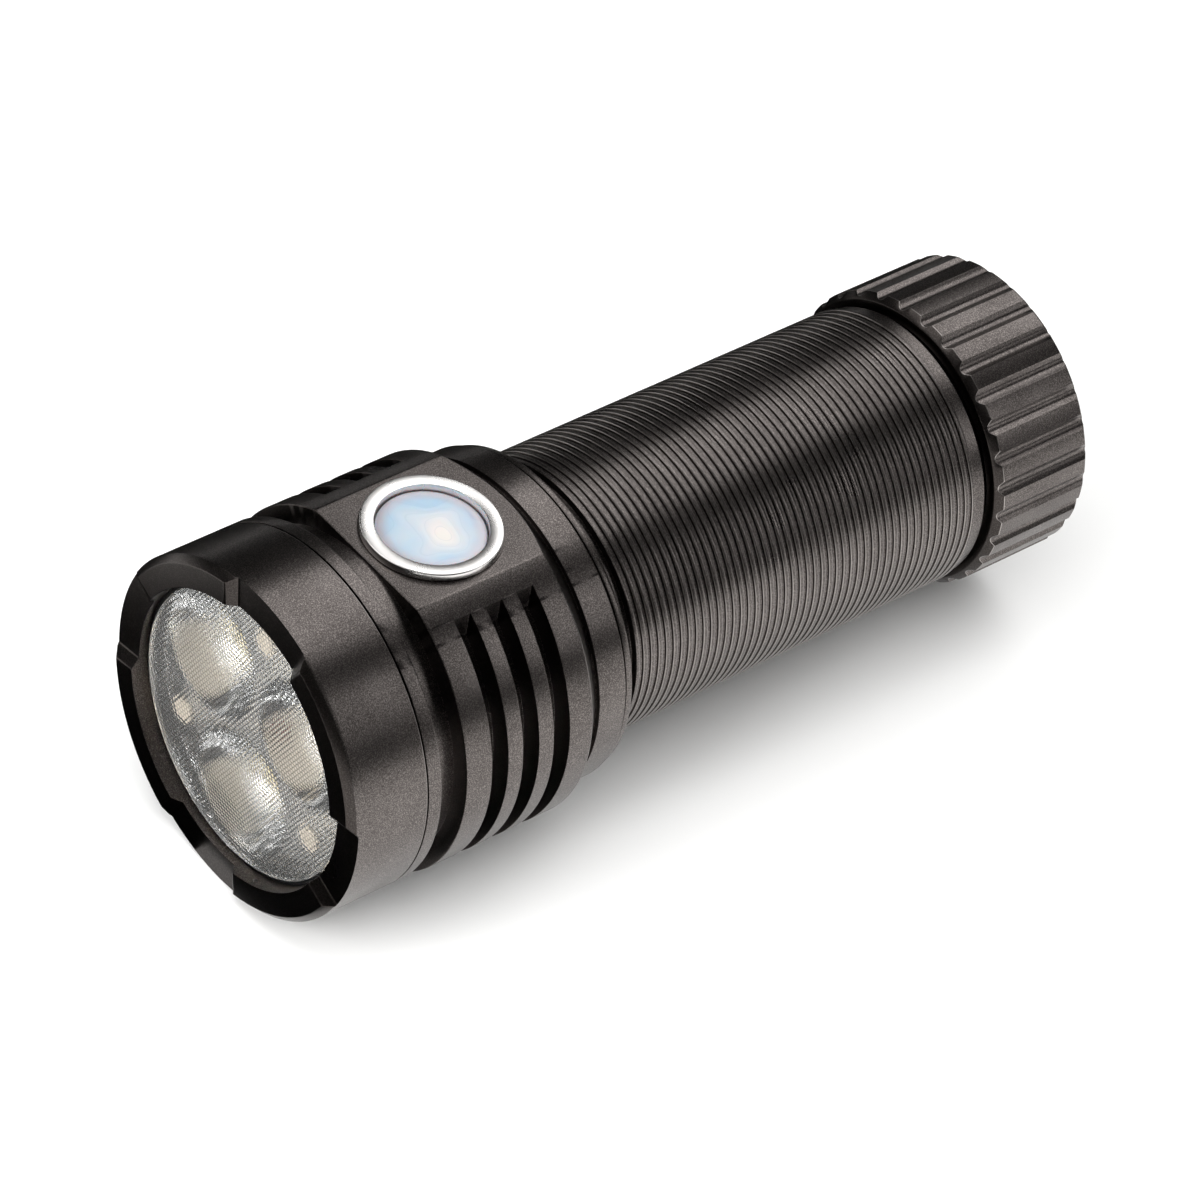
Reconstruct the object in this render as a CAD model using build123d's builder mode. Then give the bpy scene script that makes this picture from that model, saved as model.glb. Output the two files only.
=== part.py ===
from build123d import *
import math
import os

# Tactical flashlight lying on its side: the lens looks along -Y, the tail along +Y and the
# side switch along +Z. Lengths are millimetres. "Station" is the distance behind the tips of
# the crown's teeth; "height" is the distance above the barrel's centre line. The origin is
# on the ground under the middle of the length.

# Names in capitals are driving sizes. Names in small letters are worked out from them: the
# flashlight is sized from its cell outwards, so the tube, driver, switch, head and optic follow.

# ---------------------------------------------------------------- power
CELL_R = 13.25
CELL_LENGTH = 64.6
CELL_EDGE = 0.8
CELL_CAP_R = 5.5
CELL_CAP_HEIGHT = 0.8
CELL_CAP_EDGE = 0.4
CELL_WASHER_INSET = 1.65
CELL_WASHER_THICKNESS = 0.25
CELL_PROUD = 1.05
SPRING_LENGTH = 2.92
SPRING_WIRE_R = 0.45
SPRING_BASE_R = 5.2
SPRING_TIP_R = 2.6
SPRING_TURNS = 2.5
TAIL_BOARD_THICKNESS = 1.2
TAIL_RING_THICKNESS = 1.3
TAIL_RING_WIDTH = 2.6

# ---------------------------------------------------------------- fits
THREAD_CLEARANCE = 0.08
SLIDE_CLEARANCE = 0.1
SEAL_CLEARANCE = 0.03
SEAL_FLOOR_CLEARANCE = 0.015
SEAT_CLEARANCE = 0.2
CELL_CLEARANCE = 0.3
DRIVER_CLEARANCE = 0.3
SEAL_SECTION = 1.1
THIN_SEAL_SECTION = 0.7
HEAD_SEAL_SECTION = 0.84
NARROW_GROOVE_RATIO = 1.15
WIDE_GROOVE_RATIO = 1.3
THREAD_DEPTH = 0.35
THREAD_FLAT = 0.15
BEZEL_PITCH = 0.75
CAP_PITCH = 1.25

# ---------------------------------------------------------------- walls around the cell
TUBE_WALL = 2.45
HEAD_THREAD_WALL = 2.05
CAP_THREAD_WALL = 1.35
TUBE_NECK_STEP = 0.4
END_BAND_STEP = 0.3
TAIL_NECK_STEP = 0.3
CAP_SHELL = 2.07
CAP_POCKET_STEP = 0.78
CAP_WALL = 1.7
COLLAR_SHELL = 3.07

# ---------------------------------------------------------------- lengths along the barrel
TOOTH_H = 1.0
BEZEL_LENGTH = 8.85
JOINT_LINE = 0.15
RING_LENGTH = 1.7
RELIEF_LENGTH = 3.05
BLOCK_SLOPE_LENGTH = 2.1
COLLAR_NICK = 0.2
COLLAR_LENGTH = 3.5
LIP_GROOVE = 0.4
LIP_GROOVE_DEPTH = 0.55
LIP_LENGTH = 0.8
LIP_DROP = 0.35
HEAD_THREAD_LENGTH = 4.35
TUBE_NECK_LENGTH = 2.6
END_BAND_LENGTH = 1.6
TUBE_TAIL_LENGTH = 7.2
TAIL_THREAD_LENGTH = 4.4
CAP_GAP = 0.9

# ---------------------------------------------------------------- surface details
EDGE = 0.25
FINE_EDGE = 0.12
TOOTH_COUNT = 4
TOOTH_ANGLE = 51.0
TOOTH_RAMP = 3.4
TOOTH_BEVEL = 0.8
TOOTH_PHASE = 52.2
SLOT_COUNT = 3
SLOT_WIDTH = 2.1
SLOT_PITCH = 4.05
SLOT_DEPTH = 2.45
SLOT_SHIFT = 0.15
SLOT_MARGIN = 3.12
RIDGE_PITCH = 1.03
RIDGE_GROOVE_R = 0.24
RIDGE_GROOVE_DEPTH = 0.22
FLUTE_COUNT = 30
FLUTE_WIDTH = 1.62
FLUTE_DEPTH = 0.5
CAP_BEVEL = 0.8
CAP_REAR_BEVEL = 0.4

# ---------------------------------------------------------------- driver
DRIVER_INSET = 1.0
DRIVER_THICKNESS = 1.6
DRIVER_SHELF = 2.8
DRIVER_RING_THICKNESS = 1.4
DRIVER_RING_WIDTH = 2.5
SHELF_THICKNESS = 4.0
CONTACT_PAD_R = 3.0
CONTACT_PAD_HEIGHT = 1.0
COIL_SIDE = 7.2
COIL_CORNER = 1.2
COIL_HEIGHT = 4.2
COIL_MARGIN = 2.0
CHIP_GAP = 2.1
CHIP_INSET = 5.3
CONTROLLER_SIZE = (4.0, 4.0, 1.0)
TRANSISTOR_SIZE = (5.0, 6.0, 1.1)

# ---------------------------------------------------------------- side switch
SWITCH_FRONT_WALL = 1.97
SWITCH_REAR_WALL = 0.37
BUTTON_R = 5.85
BUTTON_RECESS = 0.6
BUTTON_EDGE = 0.3
BUTTON_FLANGE_WIDTH = 0.45
BUTTON_FLANGE_THICKNESS = 0.6
BUTTON_TRAVEL = 0.5
PLUNGER_R = 1.75
SWITCH_STEM_WALL = 0.4
SWITCH_FLANGE_WIDTH = 0.78
SWITCH_FLANGE_HEIGHT = 0.83
SWITCH_RING_EDGE = 0.2
SWITCH_FLOOR = 0.8
SWITCH_LEDGE_WIDTH = 1.9
SWITCH_BOARD_THICKNESS = 1.0
SPACER_HEIGHT = 2.65
SPACER_WALL = 1.4
DIAPHRAGM_THICKNESS = 0.4
DIAPHRAGM_DEPTH = 2.25
TACT_SIDE = 5.2
TACT_CORNER = 0.5
TACT_HEIGHT = 1.8
TACT_STROKE_ROOM = 0.7
TACT_PLUNGER_RISE = 0.5
INDICATOR_SIZE = (1.0, 1.6, 0.6)
INDICATOR_INSET = 1.05
SWITCH_LEAD_R = 0.35
SWITCH_LEAD_BEND_R = 2.1
SWITCH_LEAD_SPACING = 2.0
SWITCH_LEAD_DROP = 5.0

# ---------------------------------------------------------------- head walls
FLAT_DROP = 1.85
BLOCK_PROUD = 0.2
BEZEL_WALL = 1.27
HEAD_NECK_WALL = 1.5
RELIEF_WALL = 0.9
NECK_GAP = 0.5

# ---------------------------------------------------------------- optic and light engine
OPTIC_FLANGE_INSET = 0.3
OPTIC_FLANGE_WIDTH = 0.85
OPTIC_FLANGE_LENGTH = 1.4
OPTIC_BOSS_LENGTH = 1.3
OPTIC_FACE_DEPTH = 0.8
OPTIC_HEIGHT = 10.2
LIP_OPENING_GAP = 0.5
LIP_THICKNESS = 1.2
CUP_COUNT = 3
CUP_R = 7.2
CUP_EDGE_GAP = 1.2
CUP_BULGE = 0.62
CUP_TIP_WALL = 0.7
POCKET_CLEARANCE = 0.7
POCKET_DEPTH = 1.9
LEG_INSET = 4.8
LEG_R = 1.4
LED_BASE = 4.8
LED_BASE_HEIGHT = 0.6
LED_DOME_R = 1.9
LED_DOME_HEIGHT = 1.3
DOME_ARC_MIDDLE = math.radians(30)
GASKET_THICKNESS = 0.8
GASKET_GAP = 0.1
LED_BOARD_THICKNESS = 1.6
LEAD_HOLE_R = 2.4
LEAD_R = 0.6
LEAD_SPACING = 2.4
BOARD_SCREW_INSET = 2.4
BOARD_SCREW_HEAD_R = 1.7
BOARD_SCREW_HEAD_HEIGHT = 1.2
BOARD_SCREW_R = 0.95
BOARD_SCREW_HOLE_R = 1.0
BOARD_SCREW_BITE = 3.0
CROSS_LENGTH = 2.2
CROSS_WIDTH = 0.5
CROSS_CORNER = 0.2
CROSS_DEPTH = 0.6

# ---------------------------------------------------------------- radii, from the cell outwards
tube_bore_r = CELL_R + CELL_CLEARANCE
tube_r = tube_bore_r + TUBE_WALL
end_band_r = tube_r - END_BAND_STEP
head_thread_r = tube_bore_r + HEAD_THREAD_WALL
tube_neck_r = head_thread_r - TUBE_NECK_STEP
head_thread_bore_r = head_thread_r + THREAD_CLEARANCE
collar_r = head_thread_bore_r + COLLAR_SHELL
cap_thread_r = tube_bore_r + CAP_THREAD_WALL
tail_neck_r = cap_thread_r - TAIL_NECK_STEP
cap_thread_bore_r = cap_thread_r + THREAD_CLEARANCE
cap_r = cap_thread_bore_r + CAP_SHELL
cap_pocket_r = cap_thread_bore_r - CAP_POCKET_STEP

driver_r = head_thread_r - DRIVER_INSET
rear_bore_r = driver_r + DRIVER_CLEARANCE
cavity_r = driver_r - DRIVER_SHELF

# the switch's stack stands on the cavity's roof and sets the head's size
switch_ledge_height = cavity_r + SWITCH_FLOOR
switch_board_top = switch_ledge_height + SWITCH_BOARD_THICKNESS
diaphragm_height = switch_board_top + SPACER_HEIGHT
diaphragm_top = diaphragm_height + DIAPHRAGM_THICKNESS
flat_height = diaphragm_height + DIAPHRAGM_DEPTH
switch_top = flat_height + SWITCH_FLANGE_HEIGHT
button_flange_r = BUTTON_R + BUTTON_FLANGE_WIDTH
ring_bore_r = BUTTON_R + SLIDE_CLEARANCE
ring_counterbore_r = button_flange_r + SLIDE_CLEARANCE
switch_stem_r = ring_counterbore_r + SWITCH_STEM_WALL
switch_bore_r = switch_stem_r + SEAL_CLEARANCE
switch_flange_r = switch_stem_r + SWITCH_FLANGE_WIDTH
stack_r = switch_stem_r - SEAT_CLEARANCE

block_r = flat_height + FLAT_DROP
bezel_r = block_r - BLOCK_PROUD
bezel_thread_bore_r = bezel_r - BEZEL_WALL
head_neck_r = bezel_thread_bore_r - THREAD_CLEARANCE
engine_bore_r = head_neck_r - HEAD_NECK_WALL
relief_r = engine_bore_r + RELIEF_WALL
slot_floor_r = block_r - SLOT_DEPTH
led_board_r = engine_bore_r - SEAT_CLEARANCE
board_screw_circle_r = led_board_r - BOARD_SCREW_INSET
optic_flange_r = engine_bore_r - OPTIC_FLANGE_INSET
optic_boss_r = optic_flange_r - OPTIC_FLANGE_WIDTH
lip_opening_r = optic_boss_r + LIP_OPENING_GAP
cup_circle_r = engine_bore_r - CUP_EDGE_GAP - CUP_R
cup_pocket_r = LED_DOME_R + POCKET_CLEARANCE
cup_small_r = cup_pocket_r + CUP_TIP_WALL
leg_circle_r = engine_bore_r - LEG_INSET

# ---------------------------------------------------------------- stations
face = TOOTH_H
bezel_end = face + BEZEL_LENGTH
ring_front = bezel_end + JOINT_LINE
ring_end = ring_front + RING_LENGTH
block_front = ring_end + RELIEF_LENGTH

optic_face = face + OPTIC_FACE_DEPTH
lip_back = face + LIP_THICKNESS
flange_front = optic_face + OPTIC_BOSS_LENGTH
flange_end = flange_front + OPTIC_FLANGE_LENGTH
cup_end = optic_face + OPTIC_HEIGHT
gasket_front = cup_end + GASKET_GAP
board_front = gasket_front + GASKET_THICKNESS
board_end = board_front + LED_BOARD_THICKNESS
neck_front = flange_end + NECK_GAP
cavity_front = board_end + SHELF_THICKNESS
cavity_end = board_end + SWITCH_FRONT_WALL + 2 * switch_bore_r + SWITCH_REAR_WALL
switch_station = cavity_end - SWITCH_REAR_WALL - switch_bore_r
driver_end = cavity_end + DRIVER_THICKNESS
cell_tip = driver_end + CONTACT_PAD_HEIGHT
cell_front = cell_tip + CELL_CAP_HEIGHT
cell_end = cell_front + CELL_LENGTH

tube_front = cell_front
head_end = tube_front + HEAD_THREAD_LENGTH
lip_front = head_end - LIP_LENGTH
collar_end = lip_front - LIP_GROOVE
collar_front = collar_end - COLLAR_LENGTH
slope_end = collar_front - COLLAR_NICK
block_end = slope_end - BLOCK_SLOPE_LENGTH
block_middle = (block_front + block_end) / 2

tube_end = cell_end - CELL_PROUD
band_end = tube_end - TUBE_TAIL_LENGTH
ridged_end = band_end - END_BAND_LENGTH
ridged_front = head_end + TUBE_NECK_LENGTH
cap_front = band_end + CAP_GAP
tail_board_front = cell_end + SPRING_LENGTH
cap_floor = tail_board_front + TAIL_BOARD_THICKNESS
length = cap_floor + CAP_WALL
tail_ring_front = tail_board_front - TAIL_RING_THICKNESS
cap_thread_end = tail_ring_front - SEAT_CLEARANCE

AXIS_Z = max(block_r, collar_r, cap_r)
Y_FRONT = -length / 2
BARREL = Axis((0, 0, AXIS_Z), (0, 1, 0))
CUP_ANGLES = [60 + 360 * i / CUP_COUNT for i in range(CUP_COUNT)]
LEG_ANGLES = [360 * i / CUP_COUNT for i in range(CUP_COUNT)]

os.makedirs("parts", exist_ok=True)


def lengthways():
    """Plane for profiles to be turned about the barrel: local x = station, local y = radius."""
    return Plane(origin=(0, Y_FRONT, AXIS_Z), x_dir=(0, 1, 0), z_dir=(1, 0, 0))


def across(station):
    """Plane square to the barrel, facing the tail: local x = up to the switch, local y = +X."""
    return Plane(origin=(0, Y_FRONT + station, AXIS_Z), x_dir=(0, 0, 1), z_dir=(0, 1, 0))


def level(height, station=switch_station):
    """Horizontal plane over the switch's centre: local x = +X, local y = towards the tail."""
    return Plane(origin=(0, Y_FRONT + station, AXIS_Z + height), x_dir=(1, 0, 0), z_dir=(0, 0, 1))


def ring_spots(angles, radius):
    """Places on a circle about the centre line, measured from the switch towards +X."""
    return [(radius * math.cos(math.radians(a)), radius * math.sin(math.radians(a))) for a in angles]


def turned(points):
    """Closed profile of (station, radius) points, turned a full circle about the barrel."""
    with BuildPart() as body:
        with BuildSketch(lengthways()):
            with BuildLine():
                Polyline(*points, close=True)
            make_face()
        revolve(axis=BARREL)
    return body.part


def washer(front, end, outer_r, inner_r):
    """Flat ring about the barrel between two stations."""
    return turned([(front, inner_r), (end, inner_r), (end, outer_r), (front, outer_r)])


def thread_cuts(front, end, crest_r, pitch):
    """Ring-shaped V grooves that stand for a male thread between two stations."""
    count = int((end - front) / pitch)
    with BuildPart() as cuts:
        with BuildSketch(lengthways()):
            for i in range(count):
                middle = front + pitch * (i + 0.5)
                half = (pitch - THREAD_FLAT) / 2
                with BuildLine():
                    Polyline(
                        (middle - half, crest_r),
                        (middle - half, crest_r + EDGE),
                        (middle + half, crest_r + EDGE),
                        (middle + half, crest_r),
                        (middle, crest_r - THREAD_DEPTH),
                        close=True,
                    )
                make_face()
        revolve(axis=BARREL)
    return cuts.part


def seal_ring(station, radius, section):
    """O-ring of round section about the barrel."""
    with BuildPart() as seal:
        with BuildSketch(lengthways()):
            with Locations((station, radius)):
                Circle(section / 2)
        revolve(axis=BARREL)
    return seal.part


def save(piece, name):
    """Labels a finished piece and writes its STEP file."""
    piece.label = name
    export_step(piece, f"parts/{name}.step")


# ================================================================ bezel ring with crown
half_gap = (360 / TOOTH_COUNT - TOOTH_ANGLE) / 2
half_floor = half_gap - TOOTH_RAMP
reach = 2 * bezel_r
notch_middles = [TOOTH_PHASE + 360 * (i + 0.5) / TOOTH_COUNT for i in range(TOOTH_COUNT)]


def crown_notch(middle):
    """Space between two teeth, wider at the tips than at its floor."""
    with BuildPart() as notch:
        for station, half in ((-EDGE, half_gap + TOOTH_RAMP * EDGE / TOOTH_H), (face, half_floor)):
            corners = ring_spots([middle - half, middle + half], reach)
            with BuildSketch(across(station)):
                with BuildLine():
                    Polyline((0, 0), *corners, close=True)
                make_face()
        loft(ruled=True)
    return notch.part


with BuildPart() as bezel_ring:
    with BuildSketch(lengthways()):
        with BuildLine():
            Polyline(
                (0, lip_opening_r),
                (lip_back, lip_opening_r),
                (lip_back, optic_flange_r + SEAT_CLEARANCE),
                (flange_end, optic_flange_r + SEAT_CLEARANCE),
                (flange_end, bezel_thread_bore_r),
                (bezel_end, bezel_thread_bore_r),
                (bezel_end, bezel_r - FINE_EDGE),
                (bezel_end - FINE_EDGE, bezel_r),
                (TOOTH_BEVEL, bezel_r),
                (0, bezel_r - TOOTH_BEVEL),
                close=True,
            )
        make_face()
    revolve(axis=BARREL)
    for notch_middle in notch_middles:
        add(crown_notch(notch_middle), mode=Mode.SUBTRACT)
save(bezel_ring.part, "bezel_ring")

# the seal is squeezed between the bezel's lip and the optic's flange
front_seal_station = (lip_back + flange_front) / 2
front_seal_r = optic_boss_r + SEAL_CLEARANCE + HEAD_SEAL_SECTION / 2
save(seal_ring(front_seal_station, front_seal_r, HEAD_SEAL_SECTION), "optic_seal")

# ================================================================ triple optic
def cup_axis(angle):
    """Place of one cup's centre line: across the barrel and above its centre line."""
    turn = math.radians(angle)
    return cup_circle_r * math.sin(turn), cup_circle_r * math.cos(turn)


def cup_body(angle):
    """Reflector cone behind the front disc, with a pocket at its small end for the light chip."""
    aside, up = cup_axis(angle)
    profile_plane = Plane(origin=(aside, Y_FRONT, AXIS_Z + up), x_dir=(0, 1, 0), z_dir=(1, 0, 0))
    bulge = ((flange_end + cup_end) / 2, cup_small_r + (CUP_R - cup_small_r) * CUP_BULGE)
    pocket = cup_end - POCKET_DEPTH
    with BuildPart() as cup:
        with BuildSketch(profile_plane):
            with BuildLine():
                ThreePointArc((flange_end, CUP_R), bulge, (cup_end, cup_small_r))
                Polyline(
                    (cup_end, cup_small_r),
                    (cup_end, cup_pocket_r),
                    (pocket, cup_pocket_r),
                    (pocket, 0),
                    (flange_end - EDGE, 0),
                    (flange_end - EDGE, CUP_R),
                    (flange_end, CUP_R),
                )
            make_face()
        revolve(axis=Axis((aside, 0, AXIS_Z + up), (0, 1, 0)))
    return cup.part


with BuildPart() as optic:
    with BuildSketch(lengthways()):
        with BuildLine():
            Polyline(
                (optic_face, 0),
                (optic_face, optic_boss_r - FINE_EDGE),
                (optic_face + FINE_EDGE, optic_boss_r),
                (flange_front, optic_boss_r),
                (flange_front, optic_flange_r),
                (flange_end, optic_flange_r),
                (flange_end, 0),
                close=True,
            )
        make_face()
    revolve(axis=BARREL)
    for cup_angle in CUP_ANGLES:
        add(cup_body(cup_angle))
    with BuildSketch(across(flange_end)):
        with Locations(*ring_spots(LEG_ANGLES, leg_circle_r)):
            Circle(LEG_R)
    extrude(amount=board_front - flange_end)
save(optic.part, "optic")

# ================================================================ light engine
gasket_r = engine_bore_r - SEAT_CLEARANCE
with BuildPart() as centering_gasket:
    with BuildSketch(across(gasket_front)):
        Circle(gasket_r)
        with Locations(*ring_spots(CUP_ANGLES, cup_circle_r)):
            Circle(LED_BASE / math.sqrt(2) + SEAT_CLEARANCE, mode=Mode.SUBTRACT)
        with Locations(*ring_spots(LEG_ANGLES, leg_circle_r)):
            Circle(LEG_R + SEAT_CLEARANCE, mode=Mode.SUBTRACT)
        with Locations(*ring_spots(CUP_ANGLES, board_screw_circle_r)):
            Circle(BOARD_SCREW_HEAD_R + SEAT_CLEARANCE, mode=Mode.SUBTRACT)
        Circle(LEAD_HOLE_R, mode=Mode.SUBTRACT)
    extrude(amount=GASKET_THICKNESS)
save(centering_gasket.part, "centering_gasket")

with BuildPart() as led_board:
    with BuildSketch(across(board_front)):
        Circle(led_board_r)
        with Locations(*ring_spots(CUP_ANGLES, board_screw_circle_r)):
            Circle(BOARD_SCREW_HOLE_R + SLIDE_CLEARANCE, mode=Mode.SUBTRACT)
        Circle(LEAD_HOLE_R, mode=Mode.SUBTRACT)
    extrude(amount=LED_BOARD_THICKNESS)
save(led_board.part, "led_board")

dome_sphere_r = (LED_DOME_R**2 + LED_DOME_HEIGHT**2) / (2 * LED_DOME_HEIGHT)
with BuildPart() as light_chips:
    with BuildSketch(across(board_front - LED_BASE_HEIGHT)):
        for cup_angle, spot in zip(CUP_ANGLES, ring_spots(CUP_ANGLES, cup_circle_r)):
            with Locations(Location((*spot, 0), (0, 0, cup_angle))):
                Rectangle(LED_BASE, LED_BASE)
    extrude(amount=LED_BASE_HEIGHT)
    for cup_angle in CUP_ANGLES:
        aside, up = cup_axis(cup_angle)
        base = board_front - LED_BASE_HEIGHT
        dome_plane = Plane(origin=(aside, Y_FRONT, AXIS_Z + up), x_dir=(0, 1, 0), z_dir=(1, 0, 0))
        arc_middle = (
            base + dome_sphere_r - LED_DOME_HEIGHT - dome_sphere_r * math.cos(DOME_ARC_MIDDLE),
            dome_sphere_r * math.sin(DOME_ARC_MIDDLE),
        )
        with BuildSketch(dome_plane):
            with BuildLine():
                ThreePointArc((base, LED_DOME_R), arc_middle, (base - LED_DOME_HEIGHT, 0))
                Polyline((base - LED_DOME_HEIGHT, 0), (base, 0), (base, LED_DOME_R))
            make_face()
        revolve(axis=Axis((aside, 0, AXIS_Z + up), (0, 1, 0)))
save(light_chips.part, "light_chips")

with BuildPart() as board_screws:
    with BuildSketch(across(board_front - BOARD_SCREW_HEAD_HEIGHT)):
        with Locations(*ring_spots(CUP_ANGLES, board_screw_circle_r)):
            Circle(BOARD_SCREW_HEAD_R)
    extrude(amount=BOARD_SCREW_HEAD_HEIGHT)
    with BuildSketch(across(board_front)):
        with Locations(*ring_spots(CUP_ANGLES, board_screw_circle_r)):
            Circle(BOARD_SCREW_R)
    extrude(amount=LED_BOARD_THICKNESS + BOARD_SCREW_BITE)
    with BuildSketch(across(board_front - BOARD_SCREW_HEAD_HEIGHT)):
        with Locations(*ring_spots(CUP_ANGLES, board_screw_circle_r)):
            RectangleRounded(CROSS_LENGTH, CROSS_WIDTH, CROSS_CORNER)
            RectangleRounded(CROSS_WIDTH, CROSS_LENGTH, CROSS_CORNER)
    extrude(amount=CROSS_DEPTH, mode=Mode.SUBTRACT)
save(board_screws.part, "board_screws")

for lead_name, lead_side in (("light_lead_positive", 1), ("light_lead_negative", -1)):
    with BuildPart() as lead:
        with BuildSketch(across(board_front - LEAD_R)):
            with Locations((0, lead_side * LEAD_SPACING / 2)):
                Circle(LEAD_R)
        extrude(amount=cavity_end - board_front + LEAD_R)
    save(lead.part, lead_name)

# ================================================================ head body
neck_seal_r = bezel_thread_bore_r - SEAL_CLEARANCE - HEAD_SEAL_SECTION / 2
neck_seal_floor_r = neck_seal_r - HEAD_SEAL_SECTION / 2 - SEAL_FLOOR_CLEARANCE
neck_seal_end = bezel_end - HEAD_SEAL_SECTION / 2
neck_seal_front = neck_seal_end - HEAD_SEAL_SECTION * NARROW_GROOVE_RATIO
lip_r = collar_r - LIP_DROP
lip_floor_r = collar_r - LIP_GROOVE_DEPTH
front_profile = [
    (neck_front, 0),
    (neck_front, head_neck_r - EDGE),
    (neck_front + EDGE, head_neck_r),
    (neck_seal_front, head_neck_r),
    (neck_seal_front, neck_seal_floor_r),
    (neck_seal_end, neck_seal_floor_r),
    (neck_seal_end, head_neck_r),
    (ring_front, head_neck_r),
    (ring_front, bezel_r - FINE_EDGE),
    (ring_front + FINE_EDGE, bezel_r),
    (ring_end - EDGE, bezel_r),
    (ring_end, bezel_r - EDGE),
    (ring_end, relief_r),
]
rear_profile = [
    (block_front, relief_r),
    (block_front, block_r - EDGE),
    (block_front + EDGE, block_r),
    (block_end, block_r),
    (slope_end, relief_r),
    (collar_front, relief_r),
    (collar_front, collar_r - FINE_EDGE),
    (collar_front + FINE_EDGE, collar_r),
    (collar_end - FINE_EDGE, collar_r),
    (collar_end, collar_r - FINE_EDGE),
    (collar_end, lip_floor_r),
    (lip_front, lip_floor_r),
    (lip_front, lip_r),
    (head_end - EDGE, lip_r),
    (head_end, lip_r - EDGE),
    (head_end, 0),
]
bores = [
    (neck_front, board_end, engine_bore_r),
    (board_end, cavity_front, LEAD_HOLE_R),
    (cavity_front, cavity_end, cavity_r),
    (cavity_end, tube_front - SEAT_CLEARANCE, rear_bore_r),
    (tube_front - SEAT_CLEARANCE, head_end, head_thread_bore_r),
]

with BuildPart() as head_body:
    with BuildSketch(lengthways()):
        with BuildLine():
            Polyline(*front_profile, *rear_profile, close=True)
        make_face()
    revolve(axis=BARREL)
    for bore_front, bore_end, bore_r in bores:
        with BuildSketch(across(bore_front)):
            Circle(bore_r)
        extrude(amount=bore_end - bore_front, mode=Mode.SUBTRACT)
    with BuildSketch(across(board_end)):
        with Locations(*ring_spots(CUP_ANGLES, board_screw_circle_r)):
            Circle(BOARD_SCREW_HOLE_R)
    extrude(amount=BOARD_SCREW_BITE + SEAT_CLEARANCE, mode=Mode.SUBTRACT)
    add(
        thread_cuts(neck_front + EDGE, neck_seal_front - EDGE, head_neck_r, BEZEL_PITCH),
        mode=Mode.SUBTRACT,
    )
    # flat for the switch, milled as far as the nick in front of the collar
    flat_front = (ring_end + block_front) / 2
    flat_end = (slope_end + collar_front) / 2
    with BuildSketch(level(flat_height, (flat_front + flat_end) / 2)):
        Rectangle(2 * block_r, flat_end - flat_front)
    extrude(amount=block_r, mode=Mode.SUBTRACT)
    # cooling slots run round from one side of the flat to the other
    for slot in range(SLOT_COUNT):
        slot_middle = block_middle + SLOT_SHIFT + (slot - (SLOT_COUNT - 1) / 2) * SLOT_PITCH
        with BuildSketch(across(slot_middle - SLOT_WIDTH / 2)):
            Circle(block_r + EDGE)
            Circle(slot_floor_r, mode=Mode.SUBTRACT)
            with Locations((block_r, 0)):
                Rectangle(2 * block_r, 2 * (switch_flange_r + SLOT_MARGIN), mode=Mode.SUBTRACT)
        extrude(amount=SLOT_WIDTH, mode=Mode.SUBTRACT)
    # stepped well for the switch
    with BuildSketch(level(switch_ledge_height)):
        Circle(switch_bore_r)
    extrude(amount=block_r, mode=Mode.SUBTRACT)
    with BuildSketch(level(0)):
        Circle(stack_r - SWITCH_LEDGE_WIDTH)
    extrude(amount=switch_ledge_height, mode=Mode.SUBTRACT)
save(head_body.part, "head_body")

save(seal_ring((neck_seal_front + neck_seal_end) / 2, neck_seal_r, HEAD_SEAL_SECTION), "bezel_seal")

# ================================================================ driver
with BuildPart() as driver_board:
    with BuildSketch(across(cavity_end)):
        Circle(driver_r)
    extrude(amount=DRIVER_THICKNESS)
save(driver_board.part, "driver_board")

coil_edge = COIL_SIDE + COIL_MARGIN - cavity_r
chips_up = coil_edge + CHIP_GAP + CONTROLLER_SIZE[0] / 2
chips_aside = cavity_r - CHIP_INSET
with BuildPart() as driver_coil:
    with BuildSketch(across(cavity_end - COIL_HEIGHT)):
        with Locations((coil_edge - COIL_SIDE / 2, 0)):
            RectangleRounded(COIL_SIDE, COIL_SIDE, COIL_CORNER)
    extrude(amount=COIL_HEIGHT)
save(driver_coil.part, "driver_coil")

with BuildPart() as driver_chips:
    for chip_size, aside in ((CONTROLLER_SIZE, chips_aside), (TRANSISTOR_SIZE, -chips_aside)):
        chip_up, chip_across, chip_height = chip_size
        with BuildSketch(across(cavity_end - chip_height)):
            with Locations((chips_up, aside)):
                Rectangle(chip_up, chip_across)
        extrude(amount=chip_height)
save(driver_chips.part, "driver_chips")

with BuildPart() as driver_contact:
    with BuildSketch(across(driver_end)):
        Circle(CONTACT_PAD_R)
    extrude(amount=CONTACT_PAD_HEIGHT)
    chamfer(driver_contact.edges().sort_by(Axis.Y)[-1], EDGE)
save(driver_contact.part, "driver_contact")

driver_ring_r = rear_bore_r - THREAD_CLEARANCE
driver_ring_inner_r = rear_bore_r - DRIVER_RING_WIDTH


def spanner_ring(front, thickness, outer_r, inner_r):
    """Threaded locking ring with two notches for a pin spanner."""
    with BuildPart() as ring:
        with BuildSketch(across(front)):
            Circle(outer_r)
            Circle(inner_r, mode=Mode.SUBTRACT)
            with Locations((0, inner_r), (0, -inner_r)):
                Rectangle(outer_r - inner_r, outer_r - inner_r, mode=Mode.SUBTRACT)
        extrude(amount=thickness)
    return ring.part


save(
    spanner_ring(driver_end, DRIVER_RING_THICKNESS, driver_ring_r, driver_ring_inner_r),
    "driver_lock_ring",
)

# ================================================================ side switch
def upright():
    """Plane for profiles turned about the switch: local x = radius, local y = height."""
    return Plane(origin=(0, Y_FRONT + switch_station, AXIS_Z), x_dir=(1, 0, 0), z_dir=(0, -1, 0))


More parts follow.
